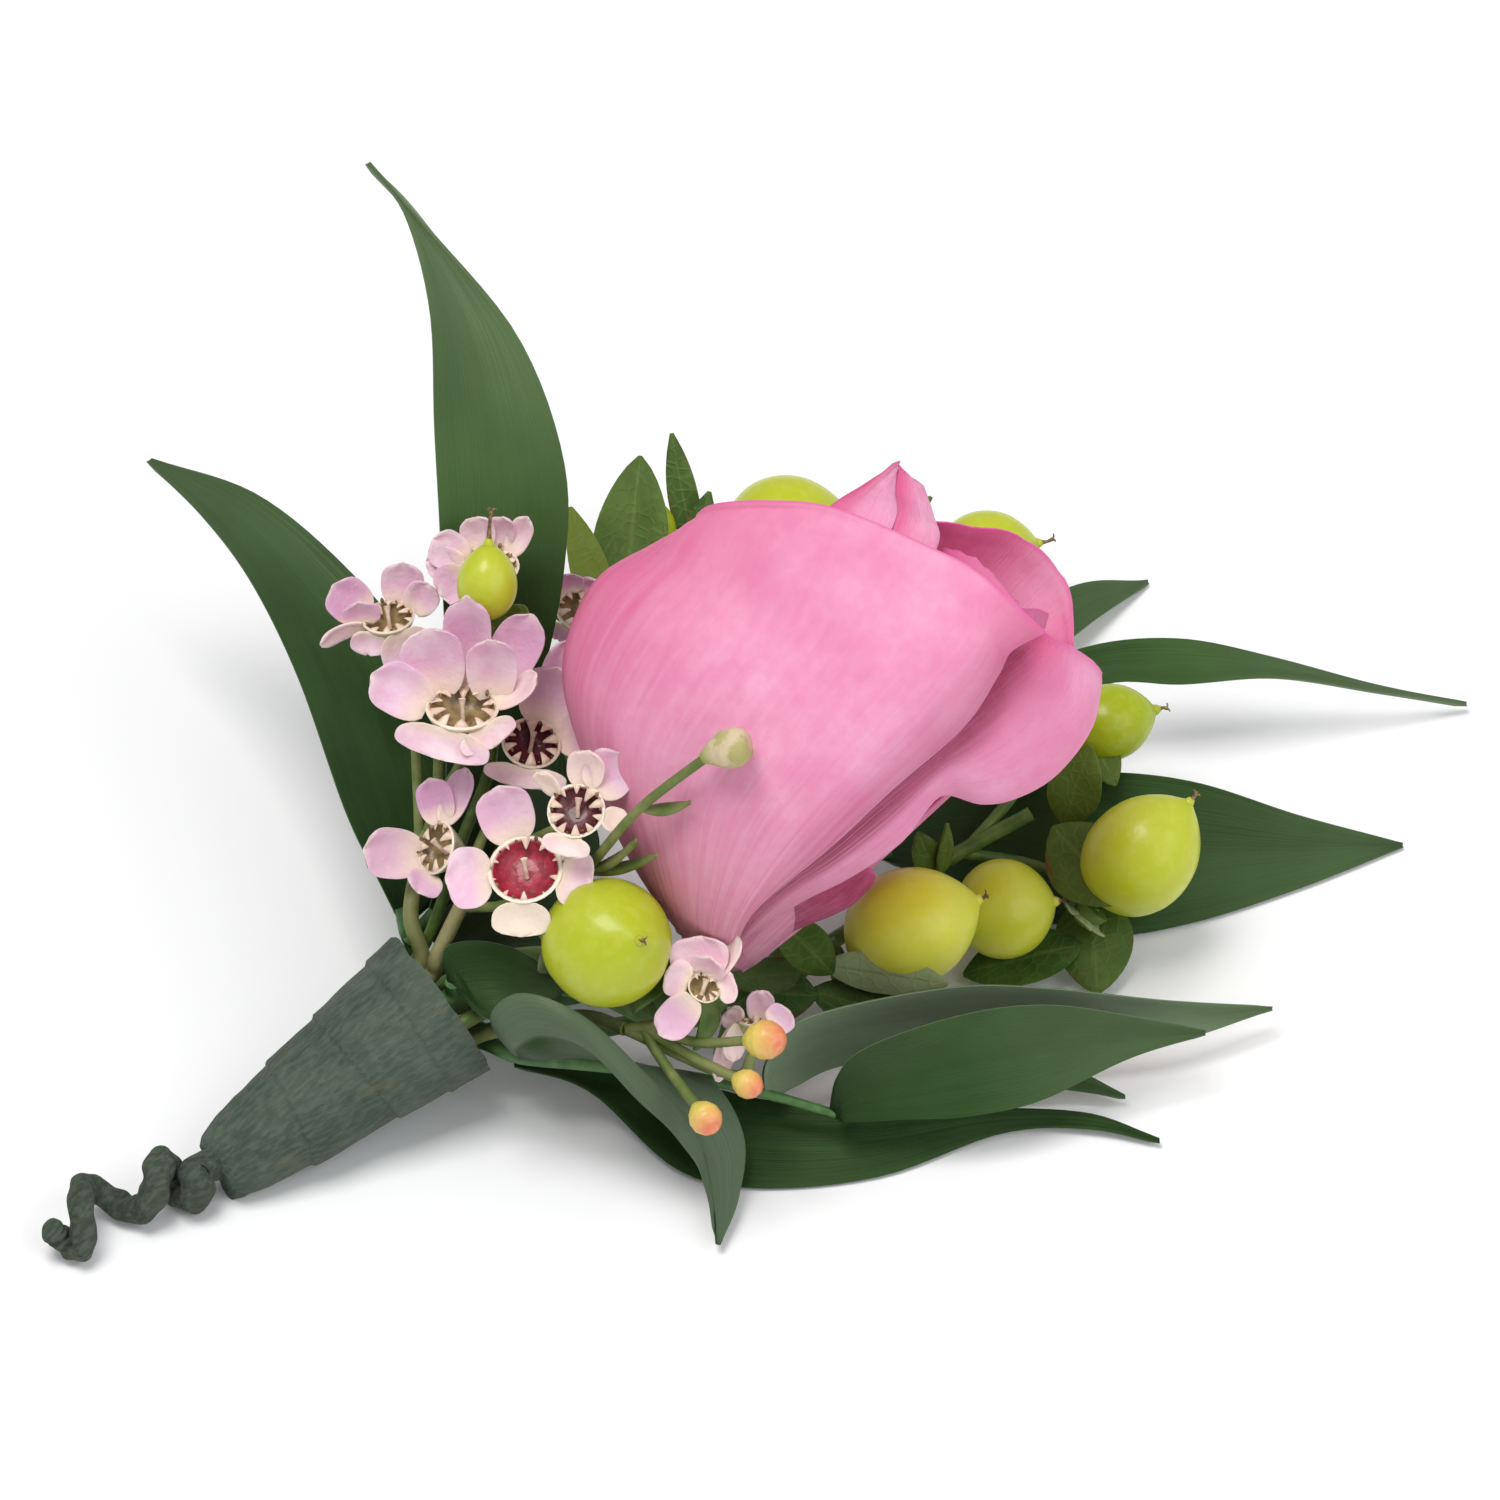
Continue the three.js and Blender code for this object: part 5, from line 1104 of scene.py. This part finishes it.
# Waxflower sprigs. Thin woody olive stems that fork to single flowers, with needle leaves,
# a faded seed cup on a long stalk and three round buds, yellow turning coral.
FLOWERS = {
    # centre, facing, size along its stalk
    "waxflower_1": ((21.7, 9.6, 24.5), (-0.1, -0.3, 0.95), 0.86),
    "waxflower_2": ((16.6, 22.6, 29.3), (0, 0.12, 1), 1.15),
    "waxflower_3": ((21.9, 23.6, 24.4), (0.15, -0.2, 0.97), 0.82),
    "waxflower_4": ((25.7, 12, 28.6), (-0.1, -0.4, 0.9), 0.62),
    "waxflower_5": ((14.6, 15.2, 21.2), (-0.75, -0.3, 0.6), 0.85),
    "waxflower_6": ((10.4, 33.6, 28.6), (-0.1, 0.1, 1), 0.85),
    "waxflower_7": ((18.6, 35.8, 32.2), (0.05, 0, 1), 0.75),
    "waxflower_8": ((35.6, 3.6, 17.4), (0.3, -0.2, 0.93), 0.55),
    "waxflower_9": ((25.5, 41.4, 21.8), (0.2, -0.2, 0.96), 0.75),
    "waxflower_10": ((39.6, 4, 13), (0.1, 0.6, 0.8), 0.5),
}
TWIG_RADII = [0.55, 0.7, 0.6]

olive = Finish("olive_stem", {"Roughness": 0.6})
bark = olive.clouds(450, 4)
olive.base(bark, (0.1, 0.15, 0.025), (0.2, 0.22, 0.07))
olive.over(olive.mark("tone"), (0.3, 0.24, 0.12))

coral = Finish("coral_bud", {
    "Roughness": 0.42, "Coat Weight": 0.2, "Subsurface Weight": 0.2, "Subsurface Scale": 0.001,
})
_, along = coral.spot()
grain = coral.clouds(1500)
coral.base(coral.ramp(along, 0.3, 0.75), (0.72, 0.6, 0.12), (0.74, 0.2, 0.1))
coral.over(grain, (0.85, 0.55, 0.2), 0.25)

faded = Finish("faded_cup", {"Roughness": 0.8})
_, along = faded.spot()
fade = faded.clouds(700, 4, 0.4, 0.6)
faded.base(fade, (0.62, 0.5, 0.32), (0.42, 0.38, 0.14))
faded.over(faded.ramp(along, 0.35, 0.05), (0.3, 0.34, 0.08))
sprig_finishes = [olive.done((bark, 0.05)), coral.done((grain, 0.03)), faded.done((fade, 0.08))]


def flower_stalk(name, points, radius=0.42):
    """A stalk through the points to the underside of a flower's cup."""
    centre, facing, size = FLOWERS[name]
    out = Vector(facing).normalized()
    seat = Vector(centre) - out * (3.2 * size + 0.2)
    twigs.tube([*points, seat - out * 0.8, seat], [radius, radius], sides=8)


twigs = Skin()
twigs.tube(rooted(66, [(12.4, 13.4, 15.8), (13.4, 19.8, 18.2)]), TWIG_RADII, sides=10, tone=0.3)
flower_stalk("waxflower_2", [(13.3, 19.3, 17.9), (14.7, 21.2, 20.6), (16, 22.2, 22.8)])
flower_stalk("waxflower_6", [(13, 18.3, 17.4), (12.8, 22.6, 20.3), (12.3, 28.6, 23.4), (11.2, 31.6, 23.8)])
flower_stalk("waxflower_7", [(14.4, 21.3, 20.4), (14.8, 28.6, 25.6), (16.8, 32.4, 26.4)])
twigs.piece("waxflower_twig_left", sprig_finishes, "waxflower_sprig_left")

twigs = Skin()
fork = (16.4, 12.4, 17.4)
twigs.tube(rooted(92, [(14.6, 9.6, 14.8), fork]), TWIG_RADII, sides=10, tone=0.5)
flower_stalk("waxflower_1", [fork, (19.6, 12, 18)])
flower_stalk("waxflower_3", [fork, (18, 18, 19.4), (20, 22.6, 19.6)])
flower_stalk("waxflower_4", [fork, (20.6, 16.6, 19.4), (24.8, 15.4, 23.6)])
flower_stalk("waxflower_5", [fork, (18.4, 15.6, 17.6)])
flower_stalk("waxflower_9", [(19.4, 21.6, 19.5), (22.6, 30, 17), (24.4, 40, 16.2)])
twigs.tube(
    [(20.6, 16.6, 19.4), (24, 13, 20.4), (26.1, 11.5, 22.2), (30.6, 9.4, 31.4), (36.3, 9.2, 37.8)],
    [0.42, 0.4], sides=8,
)
cup_line = [(35.6, 9.2, 37.2), (36.4, 9.1, 37.8), (37.3, 9, 38.3), (38.3, 8.9, 38.8), (39, 8.8, 39.1)]
twigs.tube(cup_line, [0.45, 1.0, 1.5, 1.55, 1.1], sides=20, per_span=5, finish=2)
for base, tip in (
    ((30.6, 9.4, 31.4), (34.6, 8.6, 33)), ((26.1, 11.5, 22.2), (30.4, 8.8, 28.6)),
    ((26.1, 11.5, 22.2), (32, 8.4, 27.4)),
):
    twigs.blade(small_leaf(base, tip, 1.1, (0.3, 0.8, 0.4), cols=4), 0.5)
twigs.piece("waxflower_twig_middle", sprig_finishes, "waxflower_sprig_middle")

twigs = Skin()
fork = (29.4, 3.2, 13.2)
twigs.tube(rooted(196, [(20.4, 6.8, 9.6), (26, 6.4, 11.2), fork]), [0.55, 0.7, 0.55], sides=10)
flower_stalk("waxflower_8", [fork, (32, 3.4, 13.6)])
flower_stalk("waxflower_10", [fork, (37.6, 1.6, 9.6)], 0.45)
for radius, points in (
    (1.55, [(30.6, 3.6, 13.2), (35, 1.6, 13.4), (38.9, 0.3, 15)]),
    (1.15, [(30.6, 3.6, 13.2), (34.4, 1, 12.6), (38, -1.6, 12.8)]),
    (1.3, [(30.6, 3.6, 13.2), (32.6, 0.6, 11.8), (35, -3.4, 11.5)]),
):
    end = Vector(points[2])
    ahead = (end - Vector(points[1])).normalized()
    twigs.tube(points, [0.42, 0.42], sides=8)
    bud_line = [end + ahead * radius * reach for reach in (-0.1, 0.4, 0.9, 1.4, 1.85, 2.1, 2.2)]
    bud_radii = [radius * r for r in (0.3, 0.78, 1, 0.98, 0.72, 0.4, 0.2)]
    twigs.tube(bud_line, bud_radii, sides=20, per_span=4, finish=1)
twigs.piece("waxflower_twig_front", sprig_finishes, "waxflower_sprig_front")

# Waxflowers. Broad waxy petals stand about a shallow cup, pink-lilac with a cream foot and
# edge, each at its own lean. The cup is crimson, or tan once it has faded, under a ring of
# cream teeth and brown anthers that a node tree sets, with one cream style in the middle.
PETAL_ROWS = 15
PETAL_COLS = 13
WAX_PETAL_THICKNESS = 0.26
CUP_SIDES = 28
RIM_REACH = 2.62
ANTHER_REACH = 2.35
CUP_RADIUS = 2.45
RING_COUNT = 10
RING_LIFT = 0.1
ANTHER_SIZE = 0.6

ring = Nodes(bpy.data.node_groups.new("Ring of parts", "GeometryNodeTree"))
ring_inputs = {}
for label, kind, value in (
    ("Part", "Object", None), ("Count", "Int", RING_COUNT), ("Reach", "Float", 0.0025),
    ("Turn", "Float", 0.0), ("Lean", "Float", 0.3), ("Lean spread", "Float", 0.15),
    ("Size", "Float", 1.0), ("Size spread", "Float", 0.08), ("Seed", "Int", 1),
    ("Finish", "Material", None),
):
    ring_inputs[label] = ring.socket(label, kind, value)
ring.socket("Geometry", "Geometry", in_out="OUTPUT")
inside = ring.add("NodeGroupInput").outputs
index = ring.add("GeometryNodeInputIndex").outputs[0]


def ring_spread(label, seed_shift):
    """A random value for each part, from minus the spread to plus the spread."""
    return ring.add("FunctionNodeRandomValue", {
        2: ring.math("MULTIPLY", inside[label], -1.0), 3: inside[label],
        "ID": index, "Seed": ring.math("ADD", inside["Seed"], float(seed_shift)),
    }, data_type="FLOAT").outputs[1]


share = ring.math("MULTIPLY", ring.math("DIVIDE", index, inside["Count"]), math.tau)
angle = ring.math("ADD", share, inside["Turn"])
heading = ring.add("ShaderNodeCombineXYZ", {"X": ring.math("COSINE", angle), "Y": ring.math("SINE", angle)})
spot = ring.add("ShaderNodeVectorMath", {
    0: heading.outputs[0], "Scale": inside["Reach"],
}, operation="SCALE")
points = ring.add("GeometryNodePoints", {"Count": inside["Count"], "Position": spot.outputs[0]})
lean = ring.math("ADD", inside["Lean"], ring_spread("Lean spread", 7))
turned = ring.add("ShaderNodeCombineXYZ", {"Y": ring.math("MULTIPLY", lean, -1.0), "Z": angle})
part = ring.add("GeometryNodeObjectInfo", {"Object": inside["Part"]}, transform_space="ORIGINAL")
copies = ring.add("GeometryNodeInstanceOnPoints", {
    "Points": points.outputs[0], "Instance": part.outputs["Geometry"],
    "Rotation": ring.add("FunctionNodeEulerToRotation", {0: turned.outputs[0]}).outputs[0],
    "Scale": ring.math("ADD", inside["Size"], ring_spread("Size spread", 31)),
})
real = ring.add("GeometryNodeRealizeInstances", {"Geometry": copies.outputs[0]})
coloured = ring.add("GeometryNodeSetMaterial", {"Geometry": real.outputs[0], "Material": inside["Finish"]})
ring.add("NodeGroupOutput", {0: coloured.outputs[0]})


def ring_of(name, place, values):
    """A ring of parts made by the node tree and moved to its place as a plain mesh."""
    made = placed(name, bpy.data.meshes.new(name))
    maker = made.modifiers.new("ring", "NODES")
    maker.node_group = ring.tree
    for label, value in values.items():
        maker[ring_inputs[label]] = value
    evaluated = made.evaluated_get(bpy.context.evaluated_depsgraph_get())
    mesh = bpy.data.meshes.new_from_object(evaluated)
    made.modifiers.remove(maker)
    made.data = mesh
    mesh.name = name
    mesh.transform(place @ Matrix.Translation((0, 0, RING_LIFT * MM)))
    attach(made, "root")


def template(name, grid, thickness):
    """One part for the rings, drawn along X with its face up; it is deleted at the end."""
    skin = Skin()
    skin.blade(grid, thickness)
    return placed(name, skin.mesh(name))


tooth_part = template("tooth_part", [
    [Vector((-t * 1.05, -s * 0.46 * (1 - t * 0.85), 0.3 * math.sin(t * 1.8))) for s in (-1, 0, 1)]
    for t in (0, 0.3, 0.6, 0.85, 1)
], 0.22)
anther_part = template("anther_part", [
    [Vector((t * 0.6, s * 0.22 * math.sin(math.pi * (0.1 + 0.8 * t)), 0.3 + 0.25 * t)) for s in (-1, 0, 1)]
    for t in (0, 0.25, 0.5, 0.75, 1)
], 0.25)

wax = Finish("wax_petal", {
    "Roughness": 0.55, "Specular IOR Level": 0.3, "Subsurface Weight": 0.25, "Subsurface Scale": 0.001,
    "Subsurface Radius": (1.0, 0.6, 0.8),
})
_, along = wax.spot()
wax.base(wax.clouds(330, 3, 0.38, 0.62), (0.9, 0.66, 0.75), (0.82, 0.5, 0.65))
wax.over(wax.mark("tone"), (0.62, 0.34, 0.5))
wax.over(wax.ramp(along, 0.42, 0.1), (0.86, 0.66, 0.56))
wax.over(wax.ramp(along, 0.9, 1), (0.9, 0.72, 0.64), 0.5)
wax.over(wax.mark("under"), (0.9, 0.72, 0.6))
wax_petal = wax.done((wax.clouds(2200), 0.02))

cream = Finish("cream_tooth", {"Roughness": 0.55})
cream.base(cream.clouds(1800), (0.85, 0.72, 0.55), (0.72, 0.5, 0.4))
cream_tooth = cream.done()


def cup_material(name, inner, outer):
    cup = Finish(name, {"Roughness": 0.4, "Coat Weight": 0.3})
    _, along = cup.spot()
    grain = cup.clouds(1500)
    cup.base(cup.ramp(along, 0.4, 0.5), outer, (0.86, 0.74, 0.6))
    cup.over(cup.ramp(along, 0.62, 0.7), cup.blend(grain, inner, [c * 0.6 for c in inner]))
    return cup.done((grain, 0.03))


crimson_cup = cup_material("crimson_cup", (0.42, 0.02, 0.05), (0.3, 0.33, 0.1))
dark_cup = cup_material("dark_cup", (0.13, 0.008, 0.016), (0.3, 0.33, 0.1))
tan_cup = cup_material("tan_cup", (0.36, 0.25, 0.1), (0.34, 0.34, 0.14))
cup_profile = [
    (-3.2, 0.3), (-3.1, 0.55), (-2.5, 1.2), (-1.7, 1.85), (-0.8, 2.4), (-0.2, 2.7), (0.1, 2.8), (0.22, 2.65),
    (0.1, 2.45), (-0.3, 2.3), (-0.8, 2.0), (-1.15, 1.3), (-1.25, 0.5),
]
picture_up = Vector((0, math.sin(CAMERA_ELEVATION), math.cos(CAMERA_ELEVATION)))

# each flower's cup radius, cup finish, size of its teeth, and for each petal the place of its
# tip from the middle of the cup (right, up and near in the picture), its width, how lilac
# and how cream it is, and how far it is turned edge-on
BLOOMS = {
    "waxflower_1": (2.6, crimson_cup, 0.6, [
        (-2.2, 6.5, 0.2, 4.4, 0.25, 0, 0), (-6.2, -0.7, 0.6, 4.8, 0.05, 0, 0),
        (-0.3, -5.2, 0.6, 4.6, 0, 1, 0), (5.2, -1.2, 0.6, 4.6, 0.05, 0.15, 20),
        (4.1, 3, 0.8, 2.4, 0.05, 0.8, 25),
    ]),
    "waxflower_2": (2.55, tan_cup, 1.1, [
        (0.4, 8.8, 2, 3.8, 0.2, 0, 0), (5.6, 7.4, -0.4, 4, 0.7, 0, 0), (-2.7, 6.3, 1.4, 4.9, 0, 0, 0),
        (2.3, 5.4, 2.4, 4, 0.1, 0, 0), (-7.1, 2.7, 0.8, 4.2, 0.1, 0, 10), (-1.8, -4, 1.8, 7.6, 0, 0.2, 0),
        (5.9, 2.7, 0.6, 3, 0, 0.45, 55), (2.6, -3, 2, 4.8, 0, 0.35, 0),
    ]),
    "waxflower_3": (2.1, dark_cup, 1.1, [
        (3.2, 8.3, -1.4, 3, 0.1, 0, 0), (2.1, 6, 0.8, 4.6, 0.55, 0, 0), (-0.6, -3.5, 1.6, 6.6, 0.05, 0.3, 0),
        (5.4, 1.4, 0.2, 3.6, 0.2, 0, 15), (-3.7, 1.4, 0.4, 3, 0.1, 0.7, 25),
    ]),
    "waxflower_4": (2, dark_cup, 1, [
        (3.7, 4.4, 0.2, 4, 0.35, 0, 0), (0.9, 4.7, 0.8, 3, 0, 0.7, 10), (-3, 3, 0.4, 1.9, 0, 1, 45),
        (4, -1, 0.2, 2.2, 0, 0.9, 25), (-1, -3.5, 0.8, 3.8, 0, 0.6, 0),
    ]),
    "waxflower_5": (1.9, tan_cup, 1, [
        (2.3, 6.3, -0.8, 2.2, 0.6, 0, 10), (-0.6, 5.5, 0, 2.9, 1, 0, 0), (-5.8, -0.2, 0.4, 4, 0.5, 0.15, 0),
        (-1.5, -3.5, 0.6, 2.9, 0.1, 0, 0), (3, -1.6, 0, 2.4, 0.3, 0.3, 20),
    ]),
    "waxflower_6": (1.9, tan_cup, 1.1, [
        (1.2, 4.4, 0, 3.4, 0.15, 0, 0), (-4.4, 2.6, 0.2, 3.6, 0.7, 0, 0), (-5.4, -2.2, 0.4, 1.8, 0, 0.5, 50),
        (2.6, -4.8, 0.8, 4.6, 0.05, 0, 0), (-2.2, 1.2, 1.6, 3, 0.5, 0, 0), (3.4, 2.6, 0.4, 2.8, 0, 0.1, 0),
        (-1.6, -3, 0.2, 3, 0.1, 0.1, 0),
    ]),
    "waxflower_7": (2, tan_cup, 1, [
        (-4.7, 2, 0.2, 3.2, 0.1, 0, 0), (-1.2, 3.9, 0, 2.8, 0.05, 0.1, 0), (0.9, 3.9, 0.2, 2.3, 0.35, 0, 0),
        (2.9, 3.9, 0, 2, 0, 0.25, 10), (-4, -2.4, 0.6, 3.6, 0, 0, 0), (-5.2, 0.2, -0.4, 2.6, 0, 0, 0),
    ]),
    "waxflower_8": (1.15, tan_cup, 0.6, [
        (-0.4, 4.1, 0, 4.6, 0.05, 0.1, 0), (2.6, 4.3, 0, 2.2, 0, 0.7, 30), (-3.4, -3.7, 0.2, 3, 0.3, 0, 0),
        (-3, 1.2, 0.2, 3, 0.05, 0.1, 0), (2.5, 0.4, 0, 2.8, 0, 0.3, 15), (0.6, 2.4, 0.8, 2.8, 0, 0.1, 0),
    ]),
    "waxflower_9": (1.8, tan_cup, 1, [
        (-1.5, 2.9, 0, 3.2, 0.85, 0, 0), (1.7, 2.4, 0, 3.2, 0.65, 0, 0), (2.4, -1.8, 0, 2.9, 0.7, 0, 0),
        (-1.8, -2.4, 0, 2.8, 0.6, 0, 0),
    ]),
    "waxflower_10": (1.2, tan_cup, 0.8, [
        (2.7, 1, 0, 2.5, 0.6, 0, 0), (-2.2, 1, 0, 2.1, 0.2, 0.3, 20), (-1.8, -3, 0, 2, 0.1, 0.5, 30),
        (-3, -4.6, -0.4, 1.8, 0.2, 0.4, 20), (0.4, 2.6, 0, 2.2, 0.4, 0.1, 0),
    ]),
}


def wax_petal_grid(base, tip, width, edge_on):
    """A broad rounded petal from the rim of a cup to its tip, hollow towards the viewer."""
    ahead = tip - base
    length = ahead.length
    heading = ahead.normalized()
    side = heading.cross(picture_near).normalized()
    face = side.cross(heading)
    turn = math.radians(edge_on)
    side, face = towards(turn, side, face), towards(turn, face, -side)
    grid = []
    for i in range(PETAL_ROWS):
        t = i / (PETAL_ROWS - 1)
        bulge = (t - 0.56) / (0.62 if t < 0.56 else 0.45)
        wide = max(0.3, width / 2 * max(0, 1 - abs(bulge) ** 2.8) ** 0.5)
        bow = -0.13 * length * math.sin(math.pi * t)
        row = []
        for j in range(PETAL_COLS):
            s = 2 * j / (PETAL_COLS - 1) - 1
            dish = 0.16 * width * s * s * math.sin(math.pi * min(1, 0.15 + t * 0.8))
            frill = 0.09 * math.sin(s * 5 + t * 3 + length * 4) * t
            drawn_in = 0.1 * length * max(0, t - 0.6) * s * s
            on_plane = base + heading * (t * length - drawn_in) + side * s * wide
            row.append(on_plane + face * (bow + dish + frill))
        grid.append(row)
    return grid


for number, (name, (centre, facing, size)) in enumerate(FLOWERS.items()):
    radius, cup_finish, tooth_size, petals = BLOOMS[name]
    out = Vector(facing).normalized()
    right = square_to(out, (1, 0.1, 0))
    up = out.cross(right)
    centre = Vector(centre)
    place = Matrix.Translation(centre * MM) @ Matrix((right, up, out)).transposed().to_4x4()
    swell = radius / CUP_RADIUS
    whorl = Skin()
    for ahead, rise, near, width, lilac, creamy, edge_on in petals:
        tip = centre + Vector((ahead, 0, 0)) + picture_up * rise + picture_near * near
        base = centre + square_to(out, tip - centre) * RIM_REACH * swell - out * 0.1
        grid = wax_petal_grid(base, tip, width, edge_on)
        whorl.blade(grid, WAX_PETAL_THICKNESS, tone=lilac, turned=creamy, alike=True)
    whorl.piece(name + "_petals", [wax_petal], name)
    ring_of(name + "_teeth", place, {
        "Part": tooth_part, "Count": RING_COUNT, "Reach": RIM_REACH * swell * MM, "Turn": 0.2,
        "Lean": 0.25, "Lean spread": 0.35, "Size": swell * tooth_size, "Size spread": 0.3,
        "Seed": number + 4, "Finish": cream_tooth,
    })
    ring_of(name + "_anthers", place, {
        "Part": anther_part, "Count": RING_COUNT, "Reach": ANTHER_REACH * swell * MM, "Turn": 0.5,
        "Lean": 0.7, "Lean spread": 0.4, "Size": swell * ANTHER_SIZE, "Size spread": 0.3,
        "Seed": number + 5, "Finish": dry_brown,
    })
    cup = Skin()
    cup.rings([
        circle(centre + out * along * size, reach * swell, right, up, CUP_SIDES)
        for along, reach in cup_profile
    ])
    foot = centre - out * 1.2 * size - up * 0.2
    draw = random.Random(number + 3)
    sway = right * draw.uniform(-0.1, 0.4) + up * draw.uniform(0.7, 1.2)
    style_line = [foot, foot + out * 0.9 * size + sway * 0.4, foot + out * 1.7 * size + sway]
    cup.tube(style_line, [0.2, 0.17, 0.17, 0.3], sides=8, per_span=4, finish=1)
    cup.piece(name + "_cup", [cup_finish, cream_tooth], name)

for part in (tooth_part, anther_part):
    bpy.data.objects.remove(part)
